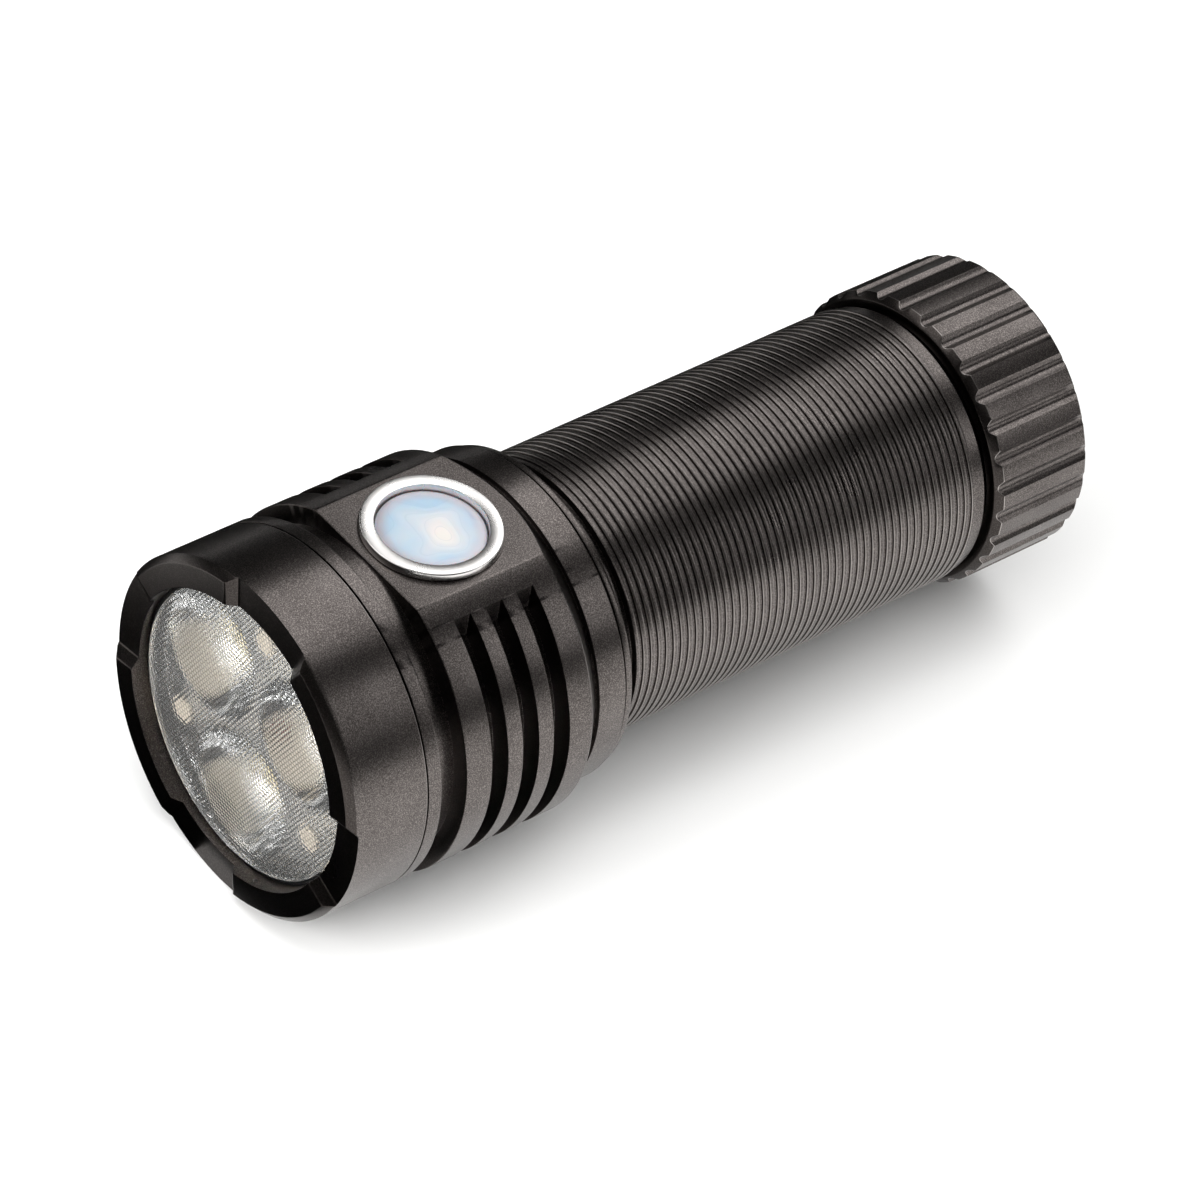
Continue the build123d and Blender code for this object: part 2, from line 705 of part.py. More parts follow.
SWITCH_AXIS = Axis((0, Y_FRONT + switch_station, AXIS_Z), (0, 0, 1))
tact_top = switch_board_top + TACT_HEIGHT
plunger_top = tact_top + TACT_PLUNGER_RISE
button_bottom = diaphragm_top + BUTTON_TRAVEL + SLIDE_CLEARANCE
button_shoulder = button_bottom + BUTTON_FLANGE_THICKNESS
button_top = switch_top - BUTTON_RECESS
spacer_inner_r = stack_r - SPACER_WALL


def turned_upright(points):
    """Closed profile of (radius, height) points, turned a full circle about the switch."""
    with BuildPart() as body:
        with BuildSketch(upright()):
            with BuildLine():
                Polyline(*points, close=True)
            make_face()
        revolve(axis=SWITCH_AXIS)
    return body.part


switch_ring = turned_upright(
    [
        (ring_bore_r, button_shoulder),
        (ring_counterbore_r, button_shoulder),
        (ring_counterbore_r, diaphragm_top),
        (switch_stem_r, diaphragm_top),
        (switch_stem_r, flat_height),
        (switch_flange_r, flat_height),
        (switch_flange_r, switch_top - SWITCH_RING_EDGE),
        (switch_flange_r - SWITCH_RING_EDGE, switch_top),
        (ring_bore_r + FINE_EDGE, switch_top),
        (ring_bore_r, switch_top - FINE_EDGE),
    ]
)
save(switch_ring, "switch_ring")

switch_button = turned_upright(
    [
        (0, plunger_top),
        (PLUNGER_R, plunger_top),
        (PLUNGER_R, button_bottom),
        (button_flange_r, button_bottom),
        (button_flange_r, button_shoulder),
        (BUTTON_R, button_shoulder),
        (BUTTON_R, button_top - BUTTON_EDGE),
        (BUTTON_R - BUTTON_EDGE, button_top),
        (0, button_top),
    ]
)
save(switch_button, "switch_button")

switch_diaphragm = turned_upright(
    [
        (PLUNGER_R + SLIDE_CLEARANCE, diaphragm_height),
        (stack_r, diaphragm_height),
        (stack_r, diaphragm_top),
        (PLUNGER_R + SLIDE_CLEARANCE, diaphragm_top),
    ]
)
save(switch_diaphragm, "switch_diaphragm")

switch_spacer = turned_upright(
    [
        (spacer_inner_r, switch_board_top),
        (stack_r, switch_board_top),
        (stack_r, diaphragm_height),
        (spacer_inner_r, diaphragm_height),
    ]
)
save(switch_spacer, "switch_spacer")

switch_board = turned_upright(
    [
        (0, switch_ledge_height),
        (stack_r, switch_ledge_height),
        (stack_r, switch_board_top),
        (0, switch_board_top),
    ]
)
save(switch_board, "switch_board")

tact_floor = tact_top - TACT_STROKE_ROOM - TACT_PLUNGER_RISE
with BuildPart() as tact_switch:
    with BuildSketch(level(switch_board_top)):
        RectangleRounded(TACT_SIDE, TACT_SIDE, TACT_CORNER)
    extrude(amount=TACT_HEIGHT)
    with BuildSketch(level(tact_floor)):
        Circle(PLUNGER_R + SLIDE_CLEARANCE)
    extrude(amount=TACT_HEIGHT, mode=Mode.SUBTRACT)
save(tact_switch.part, "tact_switch")

tact_plunger = turned_upright(
    [
        (0, tact_floor + BUTTON_TRAVEL + SLIDE_CLEARANCE),
        (PLUNGER_R, tact_floor + BUTTON_TRAVEL + SLIDE_CLEARANCE),
        (PLUNGER_R, plunger_top),
        (0, plunger_top),
    ]
)
save(tact_plunger, "tact_plunger")

indicator_r = spacer_inner_r - INDICATOR_INSET
with BuildPart() as indicator_lights:
    with BuildSketch(level(switch_board_top)):
        with Locations((indicator_r, 0), (-indicator_r, 0)):
            Rectangle(INDICATOR_SIZE[0], INDICATOR_SIZE[1])
    extrude(amount=INDICATOR_SIZE[2])
save(indicator_lights.part, "indicator_lights")

# two insulated wires drop from the switch board and turn back to the driver
lead_down = switch_ledge_height - SWITCH_LEAD_DROP
with BuildPart() as switch_leads:
    for lead_side in (1, -1):
        aside = lead_side * SWITCH_LEAD_SPACING / 2
        top = (aside, Y_FRONT + switch_station, AXIS_Z + switch_ledge_height)
        corner = (aside, Y_FRONT + switch_station, AXIS_Z + lead_down)
        end = (aside, Y_FRONT + cavity_end, AXIS_Z + lead_down)
        with BuildLine() as route:
            FilletPolyline(top, corner, end, radius=SWITCH_LEAD_BEND_R)
        with BuildSketch(Plane(origin=top, x_dir=(1, 0, 0), z_dir=(0, 0, -1))):
            Circle(SWITCH_LEAD_R)
        sweep(path=route.wire())
save(switch_leads.part, "switch_leads")

# ================================================================ battery tube
tube_front_seal_r = head_thread_bore_r - SEAL_CLEARANCE - SEAL_SECTION / 2
front_seal_floor_r = tube_front_seal_r - SEAL_SECTION / 2 - SEAL_FLOOR_CLEARANCE
front_groove = (head_end - EDGE - SEAL_SECTION * WIDE_GROOVE_RATIO, head_end - EDGE)
tube_tail_seal_r = cap_thread_bore_r - SEAL_CLEARANCE - THIN_SEAL_SECTION / 2
tail_seal_floor_r = tube_tail_seal_r - THIN_SEAL_SECTION / 2 - SEAL_FLOOR_CLEARANCE
tail_groove_front = cap_front + CAP_BEVEL
tail_groove = (tail_groove_front, tail_groove_front + THIN_SEAL_SECTION * NARROW_GROOVE_RATIO)
tail_thread_front = tube_end - TAIL_THREAD_LENGTH
tube_profile = [
    (tube_front, tube_bore_r),
    (tube_front, head_thread_r - EDGE),
    (tube_front + EDGE, head_thread_r),
    (front_groove[0], head_thread_r),
    (front_groove[0], front_seal_floor_r),
    (front_groove[1], front_seal_floor_r),
    (front_groove[1], head_thread_r),
    (head_end, head_thread_r),
    (head_end, tube_neck_r),
    (ridged_front, tube_neck_r),
    (ridged_front, tube_r),
    (ridged_end, tube_r),
    (ridged_end, end_band_r),
    (band_end - FINE_EDGE, end_band_r),
    (band_end, end_band_r - FINE_EDGE),
    (band_end, tail_neck_r),
    (tail_groove[0], tail_neck_r),
    (tail_groove[0], tail_seal_floor_r),
    (tail_groove[1], tail_seal_floor_r),
    (tail_groove[1], cap_thread_r),
    (tube_end - EDGE, cap_thread_r),
    (tube_end, cap_thread_r - EDGE),
    (tube_end, tube_bore_r),
]
ridge_count = int((ridged_end - ridged_front) / RIDGE_PITCH)
first_groove = (ridged_front + ridged_end - (ridge_count - 1) * RIDGE_PITCH) / 2
groove_r = tube_r - RIDGE_GROOVE_DEPTH + RIDGE_GROOVE_R
groove_spots = [(first_groove + i * RIDGE_PITCH, groove_r) for i in range(ridge_count)]

with BuildPart() as battery_tube:
    with BuildSketch(lengthways()):
        with BuildLine():
            Polyline(*tube_profile, close=True)
        make_face()
        with Locations(*groove_spots):
            Circle(RIDGE_GROOVE_R, mode=Mode.SUBTRACT)
    revolve(axis=BARREL)
    add(
        thread_cuts(tube_front + EDGE, front_groove[0] - EDGE, head_thread_r, CAP_PITCH / 2),
        mode=Mode.SUBTRACT,
    )
    add(thread_cuts(tail_thread_front, tube_end - EDGE, cap_thread_r, CAP_PITCH), mode=Mode.SUBTRACT)
save(battery_tube.part, "battery_tube")

save(seal_ring(sum(front_groove) / 2, tube_front_seal_r, SEAL_SECTION), "tube_front_seal")
save(seal_ring(sum(tail_groove) / 2, tube_tail_seal_r, THIN_SEAL_SECTION), "tube_tail_seal")

# ================================================================ battery cell
with BuildPart() as battery_cell:
    with BuildSketch(across(cell_front)):
        Circle(CELL_R)
    extrude(amount=CELL_LENGTH)
    fillet(battery_cell.edges(), CELL_EDGE)
save(battery_cell.part, "battery_cell")
cell_insulator = washer(
    cell_front - CELL_WASHER_THICKNESS,
    cell_front,
    CELL_R - CELL_WASHER_INSET,
    CELL_CAP_R + SEAT_CLEARANCE,
)
save(cell_insulator, "cell_insulator")
with BuildPart() as cell_contact:
    with BuildSketch(across(cell_tip)):
        Circle(CELL_CAP_R)
    extrude(amount=CELL_CAP_HEIGHT)
    fillet(cell_contact.edges().sort_by(Axis.Y)[0], CELL_CAP_EDGE)
save(cell_contact.part, "cell_contact")

# ================================================================ tail cap
flute_cutter_r = (FLUTE_WIDTH**2 / 4 + FLUTE_DEPTH**2) / (2 * FLUTE_DEPTH)
flute_middle_r = cap_r - FLUTE_DEPTH + flute_cutter_r
flute_angles = [360 * i / FLUTE_COUNT for i in range(FLUTE_COUNT)]
with BuildPart() as tail_cap:
    with BuildSketch(lengthways()):
        with BuildLine():
            Polyline(
                (cap_front, cap_thread_bore_r),
                (cap_front, cap_r - CAP_BEVEL),
                (cap_front + CAP_BEVEL, cap_r),
                (length - CAP_REAR_BEVEL, cap_r),
                (length, cap_r - CAP_REAR_BEVEL),
                (length, 0),
                (cap_floor, 0),
                (cap_floor, cap_pocket_r),
                (cap_thread_end, cap_pocket_r),
                (cap_thread_end, cap_thread_bore_r),
                close=True,
            )
        make_face()
    revolve(axis=BARREL)
    with BuildSketch(across(cap_front)):
        with Locations(*ring_spots(flute_angles, flute_middle_r)):
            Circle(flute_cutter_r)
    extrude(amount=length - cap_front, mode=Mode.SUBTRACT)
save(tail_cap.part, "tail_cap")

tail_inner_r = cap_pocket_r - THREAD_CLEARANCE
with BuildPart() as tail_board:
    with BuildSketch(across(tail_board_front)):
        Circle(tail_inner_r)
    extrude(amount=TAIL_BOARD_THICKNESS)
save(tail_board.part, "tail_board")
tail_ring_inner_r = cap_pocket_r - TAIL_RING_WIDTH
save(
    spanner_ring(tail_ring_front, TAIL_RING_THICKNESS, tail_inner_r, tail_ring_inner_r),
    "tail_lock_ring",
)

# conical spring, wide on the board and narrow against the cell
coil_rise = SPRING_LENGTH - 2 * SPRING_WIRE_R
spring_cone = math.degrees(math.atan2(SPRING_BASE_R - SPRING_TIP_R, coil_rise))
with BuildPart() as tail_spring:
    with BuildLine() as coil:
        Helix(
            pitch=coil_rise / SPRING_TURNS,
            height=coil_rise,
            radius=SPRING_TIP_R,
            center=(0, Y_FRONT + cell_end + SPRING_WIRE_R, AXIS_Z),
            direction=(0, 1, 0),
            cone_angle=spring_cone,
        )
    with BuildSketch(Plane(origin=coil.wire() @ 0, z_dir=coil.wire() % 0)):
        Circle(SPRING_WIRE_R)
    sweep(path=coil.wire(), is_frenet=True)
save(tail_spring.part, "tail_spring")
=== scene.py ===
import logging
import math
from dataclasses import dataclass
from enum import Enum
from typing import Sequence

import bmesh
import bpy
import numpy as np
from mathutils import Matrix, Vector


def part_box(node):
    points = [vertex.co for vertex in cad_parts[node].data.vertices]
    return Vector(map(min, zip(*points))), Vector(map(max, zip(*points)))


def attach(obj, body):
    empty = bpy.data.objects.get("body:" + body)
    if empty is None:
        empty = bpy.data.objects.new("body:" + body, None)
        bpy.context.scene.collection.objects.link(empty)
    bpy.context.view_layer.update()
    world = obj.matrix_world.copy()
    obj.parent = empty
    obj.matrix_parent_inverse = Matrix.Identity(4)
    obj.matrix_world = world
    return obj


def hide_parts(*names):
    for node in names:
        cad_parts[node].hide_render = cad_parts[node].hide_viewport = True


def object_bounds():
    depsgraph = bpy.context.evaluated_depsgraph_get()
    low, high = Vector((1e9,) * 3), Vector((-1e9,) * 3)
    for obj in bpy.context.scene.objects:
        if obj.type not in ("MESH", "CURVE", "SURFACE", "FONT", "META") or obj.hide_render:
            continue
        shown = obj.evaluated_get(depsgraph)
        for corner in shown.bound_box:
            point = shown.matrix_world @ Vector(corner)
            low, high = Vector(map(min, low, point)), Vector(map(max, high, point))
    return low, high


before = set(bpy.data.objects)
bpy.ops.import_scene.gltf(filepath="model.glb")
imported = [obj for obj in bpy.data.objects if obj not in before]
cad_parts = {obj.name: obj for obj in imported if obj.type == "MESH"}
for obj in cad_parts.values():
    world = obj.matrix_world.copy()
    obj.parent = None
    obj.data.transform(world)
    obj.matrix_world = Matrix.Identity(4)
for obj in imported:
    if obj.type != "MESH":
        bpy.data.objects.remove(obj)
CAD_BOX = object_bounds()

Tree = bpy.types.NodeTree
Node = bpy.types.Node
Socket = bpy.types.NodeSocket
Piece = bpy.types.Object

LOG = logging.getLogger("flashlight")
MM = 0.001  # metres in a millimetre
TURN = 2 * math.pi
MERGE = 2e-7  # points closer than this, in metres, are one point
SHARP = math.radians(32)  # edges that bend by more than this stay sharp
ROUND_STEPS = 3  # rows across a rounded corner
NO_LENGTH = 1e-9  # a length, in millimetres, that counts as none
MOST_REACH = 0.45  # the largest share of a side that a rounded corner takes
BEZEL_R = 20.15  # the bezel's outer radius, in millimetres


# ------------------------------------------------------------------ the barrel's own places
@dataclass(frozen=True)
class Barrel:
    """The barrel's centre line, and how places on it are counted.

    A station is the distance in millimetres behind the tips of the crown's teeth. An angle is
    counted from the side switch towards +X.
    """

    front: float
    axis_height: float

    @classmethod
    def from_frame(cls) -> "Barrel":
        """Reads the front and the centre line from the bezel, which is the tallest turned piece."""
        low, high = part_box("bezel_ring")
        return cls(front=low.y, axis_height=high.z - BEZEL_R * MM)

    def place(self, station: np.ndarray, radius: np.ndarray, angle: np.ndarray) -> np.ndarray:
        """Turns places round the barrel into points.

        x is the radius times the angle's sine, y the front plus the station, and z the centre
        line's height plus the radius times the cosine.

        Args:
            station: stations, in millimetres.
            radius: distances from the centre line, in millimetres.
            angle: angles from the side switch, in radians.

        Returns:
            The points in metres, an array that ends in 3.
        """
        x = radius * np.sin(angle) * MM
        y = self.front + station * MM
        z = self.axis_height + radius * np.cos(angle) * MM
        return np.stack(np.broadcast_arrays(x, y, z), axis=-1)

    def upright(
        self, station: float, radius: np.ndarray, height: np.ndarray, angle: np.ndarray
    ) -> np.ndarray:
        """Turns places round a vertical line through the barrel into points.

        x is the radius times the angle's sine, y the line's own plus the radius times the
        cosine, and z the centre line's height plus the height.

        Args:
            station: the line's station, in millimetres.
            radius: distances from the line, in millimetres.
            height: heights above the barrel's centre line, in millimetres.
            angle: angles about the line, in radians.

        Returns:
            The points in metres, an array that ends in 3.
        """
        x = radius * np.sin(angle) * MM
        y = self.front + station * MM + radius * np.cos(angle) * MM
        z = self.axis_height + height * MM
        return np.stack(np.broadcast_arrays(x, y, z), axis=-1)


BARREL = Barrel.from_frame()


# ------------------------------------------------------------------ shapes from arrays
def angles_with(count: int, extra: Sequence[float] = ()) -> np.ndarray:
    """Evenly spread angles of a full turn, with extra ones where an edge runs.

    Args:
        count: how many even angles there are.
        extra: further angles, in radians.

    Returns:
        The sorted angles from 0 up to a full turn, in radians.
    """
    even = np.arange(count) * TURN / count
    every = np.mod(np.concatenate([even, np.asarray(extra, float)]), TURN)
    return np.unique(np.round(every, 7))


def corners_by_angle(
    corners: Sequence[tuple], count: int
) -> tuple[np.ndarray, np.ndarray, np.ndarray]:
    """Spreads a profile's corners over the angles.

    Args:
        corners: (station, radius, cut-back, wear and painted edge highlight), where the last two
            may be left out. Stations and radii are numbers or arrays.
        count: the number of angles.

    Returns:
        The corners as an array (corner, angle, 2), each corner's cut-back, and its share of wear
        and painted edge highlight.
    """
    points = np.zeros((len(corners), count, 2))
    for row, corner in zip(points, corners):
        row[:, 0] = corner[0]
        row[:, 1] = corner[1]
    cuts = np.array([corner[2] if len(corner) > 2 else 0.0 for corner in corners])
    wears_and_glints = np.array([corner[3] if len(corner) > 3 else 0.0 for corner in corners])
    return points, cuts, wears_and_glints


def rounded(corners: Sequence[tuple], count: int) -> tuple[np.ndarray, np.ndarray]:
    """Rounds the corners of a closed profile.

    A corner b becomes the curve (1-u)^2 a + 2u(1-u) b + u^2 c. Its ends a and c lie on the two
    sides, the cut-back away from b and never past nearly half of a side.

    Args:
        corners: (station, radius, cut-back, wear and painted edge highlight) of each corner, in
            millimetres.
        count: the number of angles.

    Returns:
        The rounded profile, an array (row, angle, 2), and each row's share of wear and painted
        edge highlight, which is a corner's own in the middle of its curve and fades to its ends.
    """
    points, cuts, wears_and_glints = corners_by_angle(corners, count)
    back = np.roll(points, 1, axis=0) - points
    ahead = np.roll(points, -1, axis=0) - points
    back_length = np.linalg.norm(back, axis=-1, keepdims=True)
    ahead_length = np.linalg.norm(ahead, axis=-1, keepdims=True)
    reach = np.minimum(cuts[:, None, None], MOST_REACH * np.minimum(back_length, ahead_length))
    start = points + back / np.maximum(back_length, NO_LENGTH) * reach
    end = points + ahead / np.maximum(ahead_length, NO_LENGTH) * reach
    rows = []
    marks = []
    for corner, a, c, cut, wear_and_glint in zip(points, start, end, cuts, wears_and_glints):
        for u in np.linspace(0, 1, ROUND_STEPS) if cut else (0.5,):
            rows.append((1 - u) ** 2 * a + 2 * u * (1 - u) * corner + u**2 * c)
            marks.append(4 * u * (1 - u) * wear_and_glint)
    return np.array(rows), np.array(marks)


def soft_min(a: np.ndarray, b: np.ndarray, softness: float) -> np.ndarray:
    """The smaller of two values, with the change-over rounded off."""
    return 0.5 * (a + b - np.sqrt((a - b) ** 2 + softness**2))


def thread_depth(
    station: float, angle: np.ndarray, ends: tuple[float, float], pitch: float
) -> np.ndarray:
    """Depth of a screw thread, from 0 on its crest to 1 at its root.

    The phase is the station over the pitch less the share of a turn, so the groove climbs one
    pitch a turn. The depth is a V with a flat crest and root, and it fades in and out over half
    a pitch at the thread's two ends.

    Args:
        station: the station, in millimetres.
        angle: the angles, in radians.
        ends: the stations where the thread starts and ends.
        pitch: how far it climbs in a turn, in millimetres.

    Returns:
        The depth at each angle.
    """
    phase = np.mod((station - ends[0]) / pitch - angle / TURN, 1.0)
    groove = np.clip(1.3 * (1 - np.abs(2 * phase - 1)) - 0.15, 0, 1)
    inside = np.minimum(station - ends[0], ends[1] - station) / (0.5 * pitch)
    return groove * np.clip(inside, 0, 1)


def grid_faces(rows: int, columns: int) -> np.ndarray:
    """Four-sided faces of a grid that closes up both ways.

    Args:
        rows: how many rows of points there are.
        columns: how many points a row has.

    Returns:
        The indices of each face's four points.
    """
    row = np.arange(rows)[:, None]
    column = np.arange(columns)[None, :]
    row_start = row * columns
    next_start = (row + 1) % rows * columns
    beside = (column + 1) % columns
    faces = [row_start + column, next_start + column, next_start + beside, row_start + beside]
    return np.stack(faces, axis=-1).reshape(-1, 4)


def mesh_object(
    name: str, points: np.ndarray, faces: np.ndarray, marks: np.ndarray | None = None
) -> Piece:
    """Makes an object at the origin from arrays of points and faces.

    Doubled points are merged, which closes seams and poles, faces are turned outwards, and
    edges sharper than the limit stay sharp.

    Args:
        name: the piece's name.
        points: the points in metres, an array that ends in 3.
        faces: indices of each face's points, one row a face.
        marks: for each point, its share of wear and painted edge highlight, from 0 to 1.

    Returns:
        The new object, linked to the scene.
    """
    mesh = bpy.data.meshes.new(name)
    mesh.from_pydata(points.reshape(-1, 3).tolist(), [], faces.tolist())
    if marks is not None:
        # each point's share of corner wear and painted edge highlight
        corner = mesh.attributes.new("corner", "FLOAT", "POINT")
        corner.data.foreach_set("value", marks.astype(np.float32))
    tidy(mesh)
    made = bpy.data.objects.new(name, mesh)
    bpy.context.scene.collection.objects.link(made)
    return made


def tidy(mesh: bpy.types.Mesh) -> None:
    """Merges doubled points, turns the faces outwards and shades smoothly between sharp edges.

    Args:
        mesh: the mesh that is changed.
    """
    work = bmesh.new()
    work.from_mesh(mesh)
    bmesh.ops.remove_doubles(work, verts=work.verts, dist=MERGE)
    bmesh.ops.recalc_face_normals(work, faces=work.faces)
    work.to_mesh(mesh)
    work.free()
    mesh.shade_smooth()
    mesh.set_sharp_from_angle(angle=SHARP)


def turned(name: str, corners: Sequence[tuple], angle: np.ndarray) -> Piece:
    """Carries a closed profile round the barrel.

    Args:
        name: the piece's name.
        corners: (station, radius, cut-back, wear and painted edge highlight) of the profile's
            corners, in millimetres.
        angle: the angles that it is carried to, in radians.

    Returns:
        The new object.
    """
    profile, marks = rounded(corners, len(angle))
    points = BARREL.place(profile[..., 0], profile[..., 1], angle[None, :])
    return mesh_object(name, points, grid_faces(*points.shape[:2]), np.repeat(marks, len(angle)))


def turned_upright(name: str, station: float, corners: Sequence[tuple], count: int) -> Piece:
    """Carries a closed profile round a vertical line through the barrel.

    Args:
        name: the piece's name.
        station: the line's station, in millimetres.
        corners: (height, radius, cut-back) of the profile's corners, in millimetres.
        count: the number of angles.

    Returns:
        The new object.
    """
    angle = angles_with(count)
    profile, marks = rounded(corners, count)
    points = BARREL.upright(station, profile[..., 1], profile[..., 0], angle[None, :])
    return mesh_object(name, points, grid_faces(*points.shape[:2]), np.repeat(marks, count))


def ring_tube(name: str, station: float, radius: float, section: float) -> Piece:
    """An O-ring: a circle of the section's radius carried round the barrel.

    Args:
        name: the piece's name.
        station: the circle's station, in millimetres.
        radius: the circle's distance from the centre line, in millimetres.
        section: the rubber's thickness, in millimetres.

    Returns:
        The new object.
    """
    angle = angles_with(160)
    turn = angles_with(20)
    corners = list(zip(station + section / 2 * np.cos(turn), radius + section / 2 * np.sin(turn)))
    return turned(name, corners, angle)


class Cut(Enum):
    """What is done with a tool body."""

    REMOVE = "DIFFERENCE"
    JOIN = "UNION"
    KEEP_COMMON = "INTERSECT"


def combine(piece: Piece, tools: Sequence[Piece], how: Cut) -> None:
    """Applies tool bodies to a piece one after another and deletes them.

    Args:
        piece: the closed body that is changed.
        tools: the closed tool bodies.
        how: what each tool does to the piece.
    """
    for tool in tools:
        step = piece.modifiers.new(tool.name, "BOOLEAN")
        step.operation = how.value
        step.solver = "MANIFOLD"
        step.object = tool
        evaluated = piece.evaluated_get(bpy.context.evaluated_depsgraph_get())
        result = bpy.data.meshes.new_from_object(evaluated)
        piece.modifiers.clear()
        piece.data = result
        bpy.data.objects.remove(tool)
    tidy(piece.data)


def dress(piece: Piece, finish: "Finish", body: str, slot: str, *replaced: str) -> None:
    """Gives a piece its material and its body, and hides the CAD nodes that it stands for.

    Args:
        piece: the piece.
        finish: its surface finish.
        body: the body that it rides on.
        slot: the record's material slot; not used.
        replaced: the CAD nodes that it stands for.
    """
    piece.data.materials.clear()
    piece.data.materials.append(finish.material())
    normals = piece.modifiers.new("flat_faces_lead", "WEIGHTED_NORMAL")
    normals.weight = 100
    normals.keep_sharp = True
    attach(piece, body)
    if replaced:
        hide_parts(*replaced)
    LOG.info("%s: %d points, rides on %s", piece.name, len(piece.data.vertices), body)


# ------------------------------------------------------------------ materials
def linear(colour: str) -> tuple[float, float, float, float]:
    """Turns an sRGB hex colour into the linear numbers that a shader takes.

    Args:
        colour: the colour, a hash and six hex digits.

    Returns:
        Red, green, blue and an alpha of 1.
    """
    parts = [int(colour[i : i + 2], 16) / 255 for i in (1, 3, 5)]
    red, green, blue = (c / 12.92 if c <= 0.04045 else ((c + 0.055) / 1.055) ** 2.4 for c in parts)
    return red, green, blue, 1.0


def add_node(tree: Tree, kind: str, inputs: dict | None = None, **settings: object) -> Node:
    """Adds a shader node.

    Args:
        tree: the material's or world's node tree.
        kind: the node's type.
        inputs: for each input's name or number, its value or the output that it is linked to.
        settings: the node's own settings.

    Returns:
        The new node.
    """
    made = tree.nodes.new(kind)
    for key, value in settings.items():
        setattr(made, key, value)
    for key, value in (inputs or {}).items():
        if isinstance(value, Socket):
            tree.links.new(value, made.inputs[key])
        else:
            made.inputs[key].default_value = value
    return made


MADE: dict[str, bpy.types.Material] = {}  # each finish's material, by the finish's name


